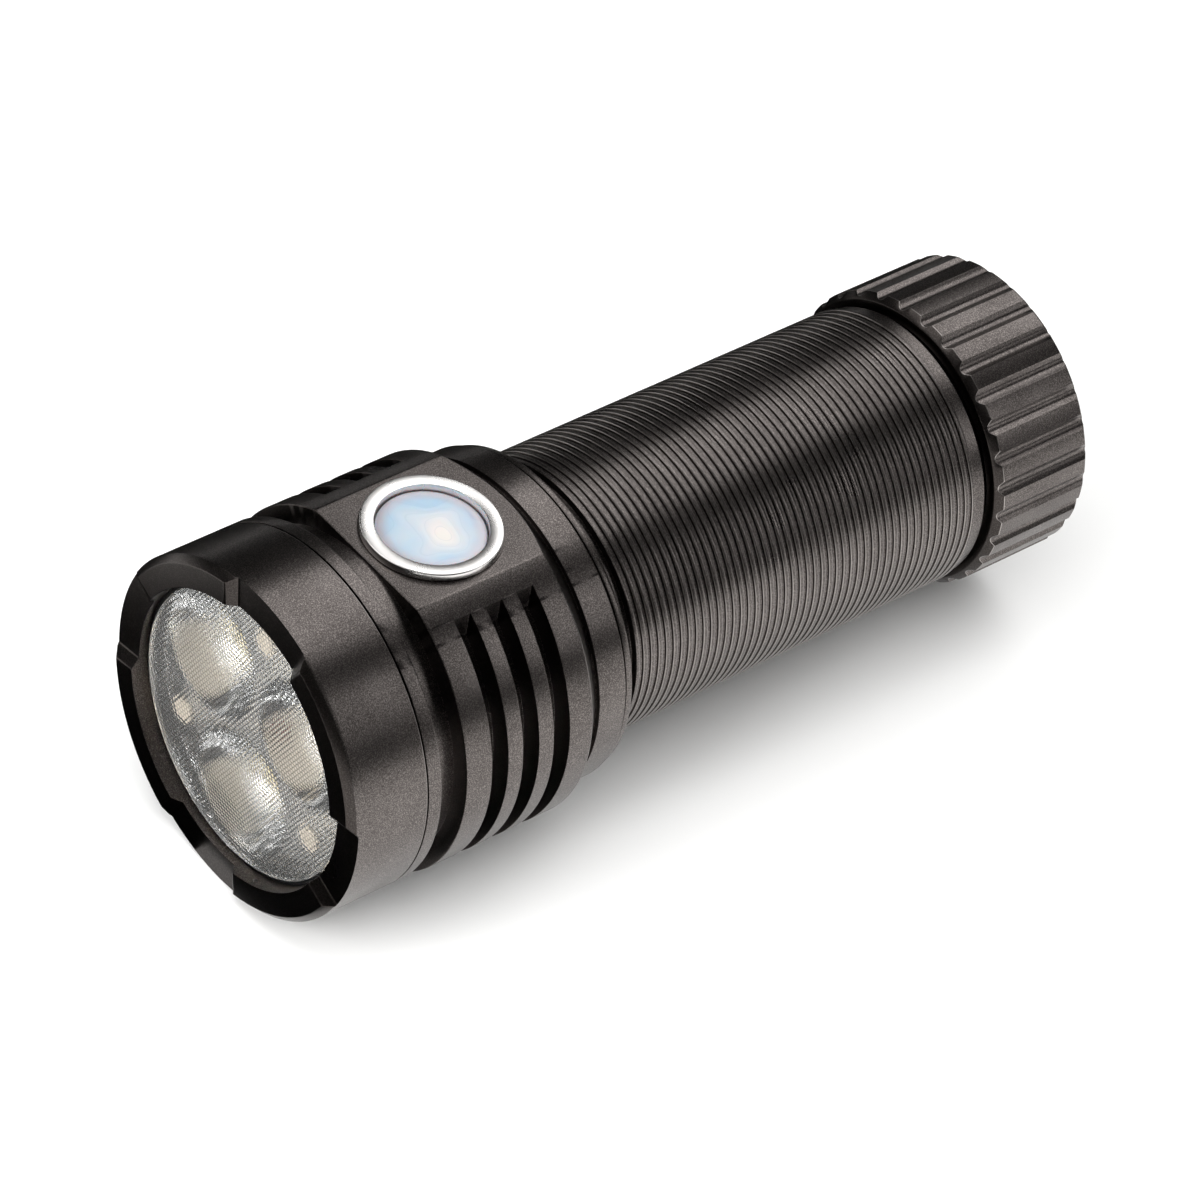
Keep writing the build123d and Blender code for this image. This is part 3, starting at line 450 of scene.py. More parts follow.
@dataclass(frozen=True)
class Finish:
    """A surface finish in two tones, with a fine grain.

    The grain's size and the relief's depth are millimetres. The roughness swings by
    roughness_swing each way with the grain.
    """

    name: str
    colour: str
    second: str
    roughness: float = 0.5
    roughness_swing: float = 0.08
    metallic: float = 0.0
    grain: float = 0.5
    relief: float = 0.0

    def material(self) -> bpy.types.Material:
        """Makes the finish's material the first time, and hands out the same one after that.

        Returns:
            The material.
        """
        if self.name not in MADE:
            made = MADE[self.name] = bpy.data.materials.new(self.name)
            made.use_nodes = True
            tree = made.node_tree
            tree.nodes.clear()
            shader = add_node(tree, "ShaderNodeBsdfPrincipled")
            self.paint(tree, shader, self.millimetres(tree))
            add_node(tree, "ShaderNodeOutputMaterial", {"Surface": shader.outputs[0]})
        return MADE[self.name]

    def millimetres(self, tree: Tree) -> Socket:
        """Adds the object's coordinates, turned into millimetres.

        Args:
            tree: the material's node tree.

        Returns:
            The output that holds them.
        """
        place = add_node(tree, "ShaderNodeTexCoord")
        scaled = {0: place.outputs["Object"], "Scale": 1 / MM}
        return add_node(tree, "ShaderNodeVectorMath", scaled, operation="SCALE").outputs[0]

    def noise(self, tree: Tree, place: Socket, size: float, detail: float = 2.0) -> Socket:
        """Noise whose lumps are about the given size in millimetres, from 0 to 1."""
        inputs = {"Vector": place, "Scale": 1 / size, "Detail": detail}
        return add_node(tree, "ShaderNodeTexNoise", inputs).outputs[0]

    def spread(
        self, tree: Tree, value: Socket, low: float, high: float, to: tuple[float, float]
    ) -> Socket:
        """Stretches the values from low to high onto a new range, and holds them there."""
        inputs = {"Value": value, "From Min": low, "From Max": high, "To Min": to[0], "To Max": to[1]}
        return add_node(tree, "ShaderNodeMapRange", inputs).outputs[0]

    def blend(self, tree: Tree, share: Socket, a: Socket | str, b: Socket | str) -> Socket:
        """Mixes two colours by a share that varies over the surface.

        Args:
            tree: the material's node tree.
            share: how much of the second colour there is, from 0 to 1.
            a: the first colour, an output or a hex colour.
            b: the second colour, an output or a hex colour.

        Returns:
            The mixed colour's output.
        """
        made = add_node(tree, "ShaderNodeMix", {"Factor": share}, data_type="RGBA")
        for number, colour in ((6, a), (7, b)):
            if isinstance(colour, str):
                made.inputs[number].default_value = linear(colour)
            else:
                tree.links.new(colour, made.inputs[number])
        return made.outputs[2]

    def gloss(self, tree: Tree, shader: Node, pattern: Socket) -> None:
        """Lets the roughness swing about its middle with a pattern.

        Args:
            tree: the material's node tree.
            shader: the shader whose roughness is linked.
            pattern: the pattern's output, from 0 to 1.
        """
        low = self.roughness - self.roughness_swing
        high = self.roughness + self.roughness_swing
        tree.links.new(self.spread(tree, pattern, 0.3, 0.7, (low, high)), shader.inputs["Roughness"])

    def emboss(self, tree: Tree, shader: Node, height: Socket, depth: float) -> None:
        """Raises a pattern as relief of a depth in millimetres."""
        inputs = {"Height": height, "Distance": depth * MM, "Strength": 1.0}
        tree.links.new(add_node(tree, "ShaderNodeBump", inputs).outputs[0], shader.inputs["Normal"])

    def vector(self, tree: Tree, operation: str, a: Socket, b: tuple | None = None) -> Socket:
        """Works out a vector, or a vector's length.

        Args:
            tree: the material's node tree.
            operation: what is worked out.
            a: the vector's output.
            b: a second vector, as three numbers.

        Returns:
            The result's output.
        """
        inputs = {0: a} if b is None else {0: a, 1: b}
        made = add_node(tree, "ShaderNodeVectorMath", inputs, operation=operation)
        return made.outputs["Value" if operation == "LENGTH" else "Vector"]

    def wave(self, tree: Tree, value: Socket, length: float) -> Socket:
        """Turns a value into a sine wave.

        Args:
            tree: the material's node tree.
            value: the value's output, in millimetres.
            length: the wave's length, in millimetres.

        Returns:
            The wave's output, from -1 to 1.
        """
        inputs = {0: value, 1: TURN / length}
        turns = add_node(tree, "ShaderNodeMath", inputs, operation="MULTIPLY").outputs[0]
        return add_node(tree, "ShaderNodeMath", {0: turns}, operation="SINE").outputs[0]

    def paint(self, tree: Tree, shader: Node, place: Socket) -> None:
        """Fine grain in two tones, with roughness and relief that follow it.

        Args:
            tree: the material's node tree.
            shader: the shader whose inputs are set or linked.
            place: the object's coordinates, in millimetres.
        """
        grain = self.noise(tree, place, self.grain)
        tone = self.blend(tree, self.spread(tree, grain, 0.35, 0.65, (0, 1)), self.colour, self.second)
        tree.links.new(tone, shader.inputs["Base Color"])
        self.gloss(tree, shader, grain)
        shader.inputs["Metallic"].default_value = self.metallic
        if self.relief:
            self.emboss(tree, shader, grain, self.relief)


@dataclass(frozen=True)
class BlastedAnodised(Finish):
    """Hard-anodised aluminium, bead-blasted before it was dyed black.

    Light goes through the dyed oxide and back off the metal, so it reflects like a dark, warm
    metal. The blasting leaves shallow dents, so highlights break up into a fine sparkle. The
    real dents are under a tenth of a millimetre, and the specks and dents here are drawn at one
    to two tenths so that they show. Faces that look towards the lamp's front get painted shade,
    a darker colour. The marked corners are painted paler, partly as wear and partly as painted
    edge highlights.
    """

    deep: str = "#3a3432"
    pale: str = "#88817d"
    # painted shade: the darker colour of faces that look towards the lamp's front
    front_shade: str = "#2c2826"
    # paler corners: partly wear, partly painted edge highlights
    worn_and_glinting: str = "#c4beba"
    deep_share: float = 0.6
    front_shade_share: float = 0.75
    worn_and_glinting_share: float = 0.8
    # the range of the normal's forward part over which the painted shade comes in
    front_shaded: tuple[float, float] = (-0.35, -0.65)
    cloud_size: float = 6.0
    dent: float = 0.2
    dent_depth: float = 0.001

    def paint(self, tree: Tree, shader: Node, place: Socket) -> None:
        """A dark warm metal with paler specks, cloudy gloss and blasted dents.

        Args:
            tree: the material's node tree.
            shader: the shader whose inputs are set or linked.
            place: the object's coordinates, in millimetres.
        """
        cloud = self.noise(tree, place, self.cloud_size)
        speck = self.noise(tree, place, self.grain, 1.0)
        base = self.blend(tree, self.spread(tree, cloud, 0.3, 0.7, (0, 1)), self.colour, self.second)
        low = self.spread(tree, speck, 0.30, 0.50, (self.deep_share, 0))
        dark = self.blend(tree, low, base, self.deep)
        speckled = self.blend(tree, self.spread(tree, speck, 0.50, 0.75, (0, 1)), dark, self.pale)
        # painted shade: faces that look towards the lamp's front are darkened by their normal
        normal = add_node(tree, "ShaderNodeTexCoord").outputs["Normal"]
        ahead = add_node(tree, "ShaderNodeSeparateXYZ", {0: normal}).outputs["Y"]
        front = self.spread(tree, ahead, *self.front_shaded, (0, self.front_shade_share))
        front_shaded = self.blend(tree, front, speckled, self.front_shade)
        # paler marked corners: partly wear, partly painted edge highlights
        corner = add_node(tree, "ShaderNodeAttribute", attribute_name="corner").outputs["Fac"]
        wear_and_glint = self.spread(tree, corner, 0.0, 1.0, (0, self.worn_and_glinting_share))
        worn_and_glinting = self.blend(tree, wear_and_glint, front_shaded, self.worn_and_glinting)
        tree.links.new(worn_and_glinting, shader.inputs["Base Color"])
        self.gloss(tree, shader, cloud)
        shader.inputs["Metallic"].default_value = 1.0
        self.emboss(tree, shader, self.noise(tree, place, self.dent), self.dent_depth)


@dataclass(frozen=True)
class TurnedSteel(Finish):
    """Stainless steel, turned on a lathe: fine rings round the switch's centre catch the light.

    Real tool marks are about a twentieth of a millimetre apart, and are drawn coarser to show.
    """

    centre: tuple[float, float] = (0.0, 0.0)
    ring_pitch: float = 0.12

    def paint(self, tree: Tree, shader: Node, place: Socket) -> None:
        """Bright metal with turning rings as relief and a little cloudiness.

        Args:
            tree: the material's node tree.
            shader: the shader whose inputs are set or linked.
            place: the object's coordinates, in millimetres.
        """
        local = self.vector(tree, "SUBTRACT", place, (*self.centre, 0.0))
        radius = self.vector(tree, "LENGTH", self.vector(tree, "MULTIPLY", local, (1, 1, 0)))
        rings = self.wave(tree, radius, self.ring_pitch)
        cloud = self.noise(tree, place, self.grain)
        tone = self.blend(tree, cloud, self.colour, self.second)
        tree.links.new(tone, shader.inputs["Base Color"])
        self.gloss(tree, shader, cloud)
        shader.inputs["Metallic"].default_value = 1.0
        self.emboss(tree, shader, rings, self.relief)


@dataclass(frozen=True)
class ClearAcrylic(Finish):
    """Injection-moulded clear acrylic, polished: it bends light and barely tints it.

    The creases between the front's beads get painted shade: their colour is darker.
    """

    ior: float = 1.49
    clearness: float = 0.95
    shaded: str = "#7d7b79"

    def paint(self, tree: Tree, shader: Node, place: Socket) -> None:
        """Glass-like, with a faint flow pattern in its gloss and painted shade in the creases.

        Args:
            tree: the material's node tree.
            shader: the shader whose inputs are set or linked.
            place: the object's coordinates, in millimetres.
        """
        flow = self.noise(tree, place, self.grain)
        haze = self.spread(tree, flow, 0.3, 0.7, (0.0, self.roughness))
        tree.links.new(haze, shader.inputs["Roughness"])
        clear = self.blend(tree, flow, self.colour, self.second)
        # painted shade: the creases between the beads are darkened towards the shaded colour
        groove = add_node(tree, "ShaderNodeAttribute", attribute_name="groove").outputs["Fac"]
        crease_shaded = self.blend(tree, self.spread(tree, groove, 0.15, 1.0, (0, 1)), clear, self.shaded)
        tree.links.new(crease_shaded, shader.inputs["Base Color"])
        shader.inputs["Transmission Weight"].default_value = self.clearness
        shader.inputs["IOR"].default_value = self.ior


@dataclass(frozen=True)
class MilkySilicone(Finish):
    """Translucent silicone, cast: a bluish skin over a warmer middle, with curled flow lines."""

    centre: tuple[float, float] = (0.0, 0.0)
    middle: str = "#c4beba"
    outer: str = "#a7a4ab"
    off_centre: tuple[float, float, float] = (0.9, 0.3, 0.0)
    curl_size: float = 3.5
    curl: float = 1.6
    line_pitch: float = 1.55
    line_crest: float = 0.93
    line_share: float = 0.22
    bluer: tuple[float, float] = (0.2, 5.2)
    skin: tuple[float, float] = (4.3, 5.4)
    milkiness: float = 0.4
    depth_seen: float = 0.8

    def paint(self, tree: Tree, shader: Node, place: Socket) -> None:
        """Colour by the distance from the middle, with flow lines that spiral outwards.

        Args:
            tree: the material's node tree.
            shader: the shader whose inputs are set or linked.
            place: the object's coordinates, in millimetres.
        """
        local = self.vector(tree, "SUBTRACT", place, (*self.centre, 0.0))
        flat = self.vector(tree, "MULTIPLY", local, (1, 1, 0))
        radius = self.vector(tree, "LENGTH", flat)
        away = self.vector(tree, "LENGTH", self.vector(tree, "SUBTRACT", flat, self.off_centre))
        cloud = self.noise(tree, flat, self.curl_size, 0.0)
        swirl = self.spread(tree, cloud, 0.2, 0.8, (-self.curl, self.curl))
        wavy = add_node(tree, "ShaderNodeMath", {0: away, 1: swirl}, operation="ADD").outputs[0]
        blue = self.spread(tree, wavy, *self.bluer, (0, 1))
        inner = self.blend(tree, blue, self.middle, self.colour)
        outer = self.spread(tree, radius, *self.skin, (0, 1))
        whole = self.blend(tree, outer, inner, self.outer)
        waves = self.wave(tree, wavy, self.line_pitch)
        lines = self.spread(tree, waves, self.line_crest, 1.0, (0, self.line_share))
        tree.links.new(self.blend(tree, lines, whole, self.second), shader.inputs["Base Color"])
        shader.inputs["Roughness"].default_value = self.roughness
        shader.inputs["Subsurface Weight"].default_value = self.milkiness
        shader.inputs["Subsurface Scale"].default_value = self.depth_seen * MM
        self.emboss(tree, shader, waves, self.relief)


@dataclass(frozen=True)
class PaperSweep(Finish):
    """White paper, which glows evenly further out so that it stays white up to its horizon."""

    glow_from: float = 250.0
    glow_full: float = 900.0

    def paint(self, tree: Tree, shader: Node, place: Socket) -> None:
        """Plain paper, with a glow that grows from a quarter of a metre out.

        Args:
            tree: the material's node tree.
            shader: the shader whose inputs are set or linked.
            place: the object's coordinates, in millimetres.
        """
        super().paint(tree, shader, place)
        away = self.vector(tree, "LENGTH", place)
        glow = self.spread(tree, away, self.glow_from, self.glow_full, (0, 1))
        tree.links.new(glow, shader.inputs["Emission Strength"])
        shader.inputs["Emission Color"].default_value = linear("#ffffff")


# Hard-anodised aluminium, blasted: dark and warm, with a fine sparkle in its highlights.
ANODISED = BlastedAnodised(
    "hard_anodised_aluminium", "#625d5b", "#575250", roughness=0.30, roughness_swing=0.03, grain=0.13
)
# Moulded nitrile rubber: nearly black and dull, with a faint orange peel.
RUBBER = Finish("nitrile_rubber", "#070707", "#101010", roughness=0.6, grain=0.3, relief=0.01)
# Moulded acrylic: clear as glass, so the cups and chips behind it show bent and bright.
ACRYLIC = ClearAcrylic("polished_acrylic", "#f7f9f9", "#fcfdfc", roughness=0.03, grain=5.0)
# Moulded polycarbonate, filled white or cream: a soft, even, slightly satin face.
WHITE_PLASTIC = Finish("white_polycarbonate", "#e9e4dc", "#dcd6cd", roughness=0.45, grain=1.2)
CREAM_PLASTIC = Finish("cream_polycarbonate", "#f4e8d8", "#eadcc8", roughness=0.5, grain=1.0)
# Solder mask over fibreglass: a thin gloss over a flat colour with a trace of the weave.
WHITE_BOARD = Finish("white_solder_mask", "#e8e6df", "#d8d6d0", roughness=0.35, grain=1.0)
GREEN_BOARD = Finish("green_solder_mask", "#0f4a26", "#0b3a1d", roughness=0.3, grain=0.8)
# Phosphor under clear silicone: a chalky pale yellow.
PHOSPHOR = Finish("yellow_phosphor", "#f0dfae", "#e6cf90", roughness=0.3, grain=0.4)
# Zinc plate on steel: grey and bright, a little cloudy.
PLATED_STEEL = Finish(
    "zinc_plated_steel", "#a9aaab", "#8e9092", roughness=0.35, metallic=1.0, grain=0.5
)
# Brass, turned: a warm yellow metal.
BRASS = Finish("turned_brass", "#c9a25a", "#b48a43", roughness=0.3, metallic=1.0, grain=0.6)
# Moulded epoxy on chips and the tact switch: black, fine and matt.
EPOXY = Finish("black_epoxy", "#151515", "#1f1f1f", roughness=0.55, grain=0.2)
# Pressed and fired ferrite: dark grey, dull and slightly gritty.
FERRITE = Finish("pressed_ferrite", "#2a2b2d", "#1d1e20", roughness=0.7, grain=0.25, relief=0.01)
# Extruded silicone on the leads: a soft, even sheen.
RED_WIRE = Finish("red_silicone_wire", "#a8120f", "#8e0e0c", roughness=0.5, grain=0.6)
BLACK_WIRE = Finish("black_silicone_wire", "#0c0c0c", "#141414", roughness=0.5, grain=0.6)
# Shrunk sleeve on the cell: glossy blue film.
SLEEVE = Finish("shrink_sleeve", "#1d4f86", "#18447a", roughness=0.3, grain=2.0)
# Fish paper, the cell's insulator: off-white, fibrous and matt.
FIBRE = Finish("fish_paper", "#d9d7cb", "#c9c5b6", roughness=0.8, grain=0.4, relief=0.01)
# Gold-plated spring wire: a bright, pale gold metal.
SPRING_WIRE = Finish(
    "gold_plated_wire", "#d2b06a", "#c19c55", roughness=0.25, metallic=1.0, grain=0.5
)


# ------------------------------------------------------------------ sub-assemblies
@dataclass(frozen=True)
class Seal:
    """A rubber O-ring: its station, its radius and the rubber's thickness, in millimetres."""

    station: float
    radius: float
    section: float

    def dress(self, name: str, body: str, node: str) -> None:
        """Builds the ring, gives it its rubber and its body, and hides the node that it stands for."""
        ring = ring_tube(name, self.station, self.radius, self.section)
        dress(ring, RUBBER, body, "black_rubber", node)


@dataclass(frozen=True)
class Bezel:
    """The screwed-on bezel with its crown of four teeth. Sizes are millimetres and degrees."""

    outer_r: float = BEZEL_R
    end: float = 9.85
    tooth_h: float = 1.0
    bevel: float = 0.8
    lip_r: float = 16.65
    lip_back: float = 2.2
    seat_r: float = 17.2
    seat_end: float = 4.5
    thread_r: float = 18.88
    teeth: int = 4
    tooth_angle: float = 51.0
    ramp: float = 3.4
    phase: float = 52.2
    knee: float = 0.25
    band: float = 0.25
    edge: float = 0.09
    crown_edge: float = 0.063
    rear_edge: float = 0.14
    # paler rear edge: partly wear, partly painted edge highlight
    rear_wear_and_glint: float = 0.6
    samples: int = 512
    seal: Seal = Seal(2.65, 16.6, 0.84)

    def front(self, angle: np.ndarray) -> np.ndarray:
        """Station of the crown's front: 0 on a tooth, the tooth's height in a gap, ramps between.

        Args:
            angle: angles from the side switch, in radians.

        Returns:
            The station at each angle, in millimetres.
        """
        period = 360 / self.teeth
        aside = np.abs(np.mod(np.degrees(angle) - self.phase, period) - period / 2)
        foot = (period - self.tooth_angle) / 2
        head = foot - self.ramp
        turns = [0, head - self.knee, head + self.knee, foot - self.knee, foot + self.knee, 180]
        step = self.tooth_h / self.ramp * self.knee
        heights = [self.tooth_h, self.tooth_h, self.tooth_h - step, step, 0, 0]
        return np.interp(aside, turns, heights)

    def edge_angles(self) -> np.ndarray:
        """Angles where a tooth's ramp begins or ends, with one each side for a small round.

        Returns:
            The angles, in radians.
        """
        period = 360 / self.teeth
        knees = np.array([-self.knee, 0.0, self.knee])
        foot = (period - self.tooth_angle) / 2
        middles = self.phase + period * (np.arange(self.teeth) + 0.5)
        steps = [side * (place + knees) for side in (1, -1) for place in (foot, foot - self.ramp)]
        return np.radians((middles[:, None] + np.concatenate(steps)[None, :]).ravel())

    def build(self) -> Piece:
        """Turns the bezel's profile, with its front raised and lowered by the crown.

        Returns:
            The bezel.
        """
        angle = angles_with(self.samples, self.edge_angles())
        front = self.front(angle)
        shoulder = np.minimum(self.outer_r, self.outer_r - self.bevel + front)
        corners = [
            (front, self.lip_r, self.edge),
            (front, shoulder, self.crown_edge),
            (np.maximum(front, self.bevel), self.outer_r, self.crown_edge),
            (self.tooth_h + self.band, self.outer_r),
            (self.end, self.outer_r, self.rear_edge, self.rear_wear_and_glint),
            (self.end, self.thread_r, self.edge),
            (self.seat_end, self.thread_r),
            (self.seat_end, self.seat_r),
            (self.lip_back, self.seat_r),
            (self.lip_back, self.lip_r, self.edge),
        ]
        return turned("bezel_shell", corners, angle)

    def dress(self) -> None:
        """Builds and dresses the bezel and its seal."""
        dress(self.build(), ANODISED, "bezel", "anodised_aluminium", "bezel_ring")
        self.seal.dress("optic_seal_ring", "bezel_slider", "optic_seal")


@dataclass(frozen=True)
class Head:
    """The head: threaded neck, ring, relief, the slotted block with its flat, collar and lip."""

    neck_front: float = 5.0
    neck_r: float = 18.8
    bore_r: float = 17.3
    ring: tuple[float, float] = (10.0, 11.7)
    ring_r: float = BEZEL_R
    relief_r: float = 18.2
    block: tuple[float, float] = (14.75, 31.25)
    block_r: float = 20.349
    slope_end: float = 33.35
    flat: float = 18.5
    slot_middles: tuple[float, ...] = (19.10, 23.15, 27.20)
    slot_half: float = 1.05
    slot_floor_r: float = 17.9
    slot_start: float = 10.7
    collar: tuple[float, float] = (33.55, 37.05)
    collar_r: float = 18.75
    lip: tuple[float, float] = (37.45, 38.25)
    lip_r: float = 18.4
    groove_r: float = 18.2
    seal_groove: tuple[float, float] = (8.464, 9.43)
    seal_floor_r: float = 17.995
    thread: tuple[float, float] = (5.3, 8.3)
    pitch: float = 0.75
    thread_deep: float = 0.35
    neck_chamfer: tuple[float, float] = (0.25, 0.35)
    tube_bore_r: float = 15.68
    driver_bore_r: float = 14.9
    cavity_r: float = 11.8
    lead_hole_r: float = 2.4
    bores: tuple[float, float, float, float] = (33.7, 30.5, 18.5, 14.5)
    well_station: float = 23.3
    well_r: float = 6.83
    well_floor: float = 12.6
    hole_r: float = 4.7
    hole_lap: float = 0.4
    above: float = 22.0
    edge: float = 0.09
    fine_edge: float = 0.05
    block_edge: float = 0.2
    ring_edge: float = 0.22
    slope_edge: float = 0.15
    blend: float = 0.03
    samples: int = 360
    thread_rows: int = 61
    near_edges: tuple[float, ...] = (-0.5, -0.25, -0.1, 0.0, 0.1, 0.25, 0.5)
    seal: Seal = Seal(8.947, 18.43, 0.84)

    def block_radius(self, angle: np.ndarray) -> np.ndarray:
        """The block's radius: its own, or the flat's height over the cosine where that is less.

        Args:
            angle: angles from the side switch, in radians.

        Returns:
            The radius at each angle, in millimetres.
        """
        flat = self.flat / np.maximum(np.cos(angle), 0.1)
        softened = soft_min(flat, np.full_like(flat, self.block_r), self.blend)
        return np.where(flat < self.block_r + 2, softened, self.block_r)

    def slot_radius(self, angle: np.ndarray, outer: np.ndarray) -> np.ndarray:
        """Radius of a slot's floor, which ends above the centre line in a wall square to +X.

        Args:
            angle: angles from the side switch, in radians.
            outer: the block's radius at each angle.

        Returns:
            The floor's radius at each angle, in millimetres.
        """
        sine = np.maximum(np.abs(np.sin(angle)), 1e-6)
        wall = np.where(np.cos(angle) > 0, self.slot_start / sine, 0.0)
        return np.minimum(np.maximum(wall, self.slot_floor_r), outer)

    def corners(self, angle: np.ndarray) -> list[tuple]:
        """The head's closed profile, back over the outside and forward through the bores.

        Args:
            angle: angles from the side switch, in radians.

        Returns:
            (station, radius, cut-back) of each corner, in millimetres.
        """
        block = self.block_radius(angle)
        floor = self.slot_radius(angle, block)
        steps = np.linspace(*self.thread, self.thread_rows)
        depth = [self.thread_deep * thread_depth(s, angle, self.thread, self.pitch) for s in steps]
        slope = (self.slope_end - self.block[1]) / (self.block_r - self.relief_r)
        outside = [
            (self.neck_front, self.bore_r, self.edge),
            (self.neck_front, self.neck_r - self.neck_chamfer[1]),
            (self.neck_front + self.neck_chamfer[0], self.neck_r),
            *[(station, self.neck_r - deep) for station, deep in zip(steps, depth)],
            (self.seal_groove[0], self.neck_r, self.fine_edge),
            (self.seal_groove[0], self.seal_floor_r),
            (self.seal_groove[1], self.seal_floor_r),
            (self.seal_groove[1], self.neck_r, self.fine_edge),
            (self.ring[0], self.neck_r),
            (self.ring[0], self.ring_r, self.edge),
            (self.ring[1], self.ring_r, self.ring_edge),
            (self.ring[1], self.relief_r, self.fine_edge),
            (self.block[0], self.relief_r, self.fine_edge),
            (self.block[0], block, self.block_edge),
        ]
        for middle in self.slot_middles:
            front = middle - self.slot_half
            rear = middle + self.slot_half
            outside += [(front, block, self.edge), (front, floor, self.edge)]
            outside += [(rear, floor, self.edge), (rear, block, self.edge)]
        behind = [
            (self.block[1] + slope * (self.block_r - block), block, self.slope_edge),
            (self.slope_end, self.relief_r),
            (self.collar[0], self.relief_r),
            (self.collar[0], self.collar_r, self.edge),
            (self.collar[1], self.collar_r, self.edge),
            (self.collar[1], self.groove_r),
            (self.lip[0], self.groove_r),
            (self.lip[0], self.lip_r, self.fine_edge),
            (self.lip[1], self.lip_r, self.block_edge),
            (self.lip[1], self.tube_bore_r, self.edge),
            (self.bores[0], self.tube_bore_r),
            (self.bores[0], self.driver_bore_r),
            (self.bores[1], self.driver_bore_r),
            (self.bores[1], self.cavity_r),
            (self.bores[2], self.cavity_r),
            (self.bores[2], self.lead_hole_r),
            (self.bores[3], self.lead_hole_r),
            (self.bores[3], self.bore_r),
        ]
        return outside + behind

    def build(self) -> Piece:
        """Turns the head's profile and sinks the switch's stepped well into it.

        Returns:
            The head.
        """
        turns = [math.acos(self.flat / self.block_r)]
        turns += [math.asin(self.slot_start / r) for r in (self.slot_floor_r, self.block_r)]
        near = np.radians(self.near_edges)
        extra = [side * (turn + near) for side in (1, -1) for turn in turns]
        angle = angles_with(self.samples, np.concatenate(extra))
        head = turned("head_shell", self.corners(angle), angle)
        floor = self.well_floor
        top = self.above
        well = [(floor, 0), (floor, self.well_r), (top, self.well_r), (top, 0)]
        into = floor + self.hole_lap
        hole = [(0.0, 0), (0.0, self.hole_r), (into, self.hole_r), (into, 0)]
        tools = [
            turned_upright("well", self.well_station, well, 128),
            turned_upright("hole", self.well_station, hole, 96),
        ]
        combine(head, tools, Cut.REMOVE)
        return head

    def dress(self) -> None:
        """Builds and dresses the head and the seal on its neck."""
        dress(self.build(), ANODISED, "barrel", "anodised_aluminium", "head_body")
        self.seal.dress("neck_seal_ring", "barrel", "bezel_seal")


@dataclass(frozen=True)
class Tube:
    """The ridged battery tube, with a thread at each end."""

    front: float = 33.9
    end: float = 97.45
    bore_r: float = 13.55
    head_end: float = 38.25
    neck_r: float = 15.2
    thread_r: float = 15.6
    ridged: tuple[float, float] = (40.85, 88.65)
    radius: float = 16.0
    ridges: int = 46
    pitch: float = 1.03
    groove_half: float = 0.25
    groove_depth: float = 0.26
    crest: float = 0.2
    root: float = 0.12
    root_share: float = 0.8
    # paler ridge crests: partly wear, partly painted edge highlight
    crest_wear_and_glint: tuple[float, float] = (0.5, 0.8)
    band: tuple[float, float] = (88.65, 90.25)
    band_edge: float = 0.1
    band_r: float = 15.7
    tail_neck_r: float = 14.6
    tail_thread_r: float = 14.9
    seal_groove: tuple[float, float] = (91.95, 92.755)
    seal_floor_r: float = 14.235
    thread: tuple[float, float] = (92.95, 97.2)
    thread_pitch: float = 1.25
    thread_deep: float = 0.35
    end_chamfer: float = 0.2
    edge: float = 0.06
    fine_edge: float = 0.05
    shoulder_edge: float = 0.15
    samples: int = 144
    thread_rows: int = 52
    front_seal: Seal = Seal(37.285, 15.1, 1.1)
    tail_seal: Seal = Seal(92.3525, 14.6, 0.7)

    def corners(self, angle: np.ndarray) -> list[tuple]:
        """The tube's closed profile, with rounded grooves between flat lands.

        Args:
            angle: angles from the side switch, in radians.

        Returns:
            (station, radius, cut-back, wear and painted edge highlight) of each corner, in millimetres.
        """
        outside = [
            (self.front, self.bore_r),
            (self.front, self.thread_r, self.edge),
            (self.head_end, self.thread_r),
            (self.head_end, self.neck_r),
            (self.ridged[0], self.neck_r, self.shoulder_edge),
            (self.ridged[0], self.radius, self.edge),
        ]
        first = (self.ridged[0] + self.ridged[1] - (self.ridges - 1) * self.pitch) / 2
        floor_r = self.radius - self.groove_depth
        floor_half = self.groove_half * self.root_share
        for groove in range(self.ridges):
            middle = first + groove * self.pitch
            outside += [
                (middle - self.groove_half, self.radius, self.crest, self.crest_wear_and_glint[0]),
                (middle - floor_half, floor_r, self.root),
                (middle + floor_half, floor_r, self.root),
                (middle + self.groove_half, self.radius, self.crest, self.crest_wear_and_glint[1]),
            ]
        steps = np.linspace(*self.thread, self.thread_rows)
        pitch = self.thread_pitch
        depth = [self.thread_deep * thread_depth(s, angle, self.thread, pitch) for s in steps]
        tail = [
            (self.ridged[1], self.radius, self.edge),
            (self.band[0], self.band_r),
            (self.band[1], self.band_r, self.band_edge),
            (self.band[1], self.tail_neck_r),
            (self.seal_groove[0], self.tail_neck_r, self.fine_edge),
            (self.seal_groove[0], self.seal_floor_r),
            (self.seal_groove[1], self.seal_floor_r),
            (self.seal_groove[1], self.tail_thread_r, self.fine_edge),
            *[(station, self.tail_thread_r - deep) for station, deep in zip(steps, depth)],
            (self.end, self.tail_thread_r - self.end_chamfer, self.fine_edge),
            (self.end, self.bore_r, self.edge),
        ]
        return outside + tail

    def dress(self) -> None:
        """Builds and dresses the tube and its two seals."""
        angle = angles_with(self.samples)
        tube = turned("tube_shell", self.corners(angle), angle)
        dress(tube, ANODISED, "barrel", "anodised_aluminium", "battery_tube")
        self.front_seal.dress("tube_front_ring", "barrel", "tube_front_seal")
        self.tail_seal.dress("tube_tail_ring", "barrel", "tube_tail_seal")


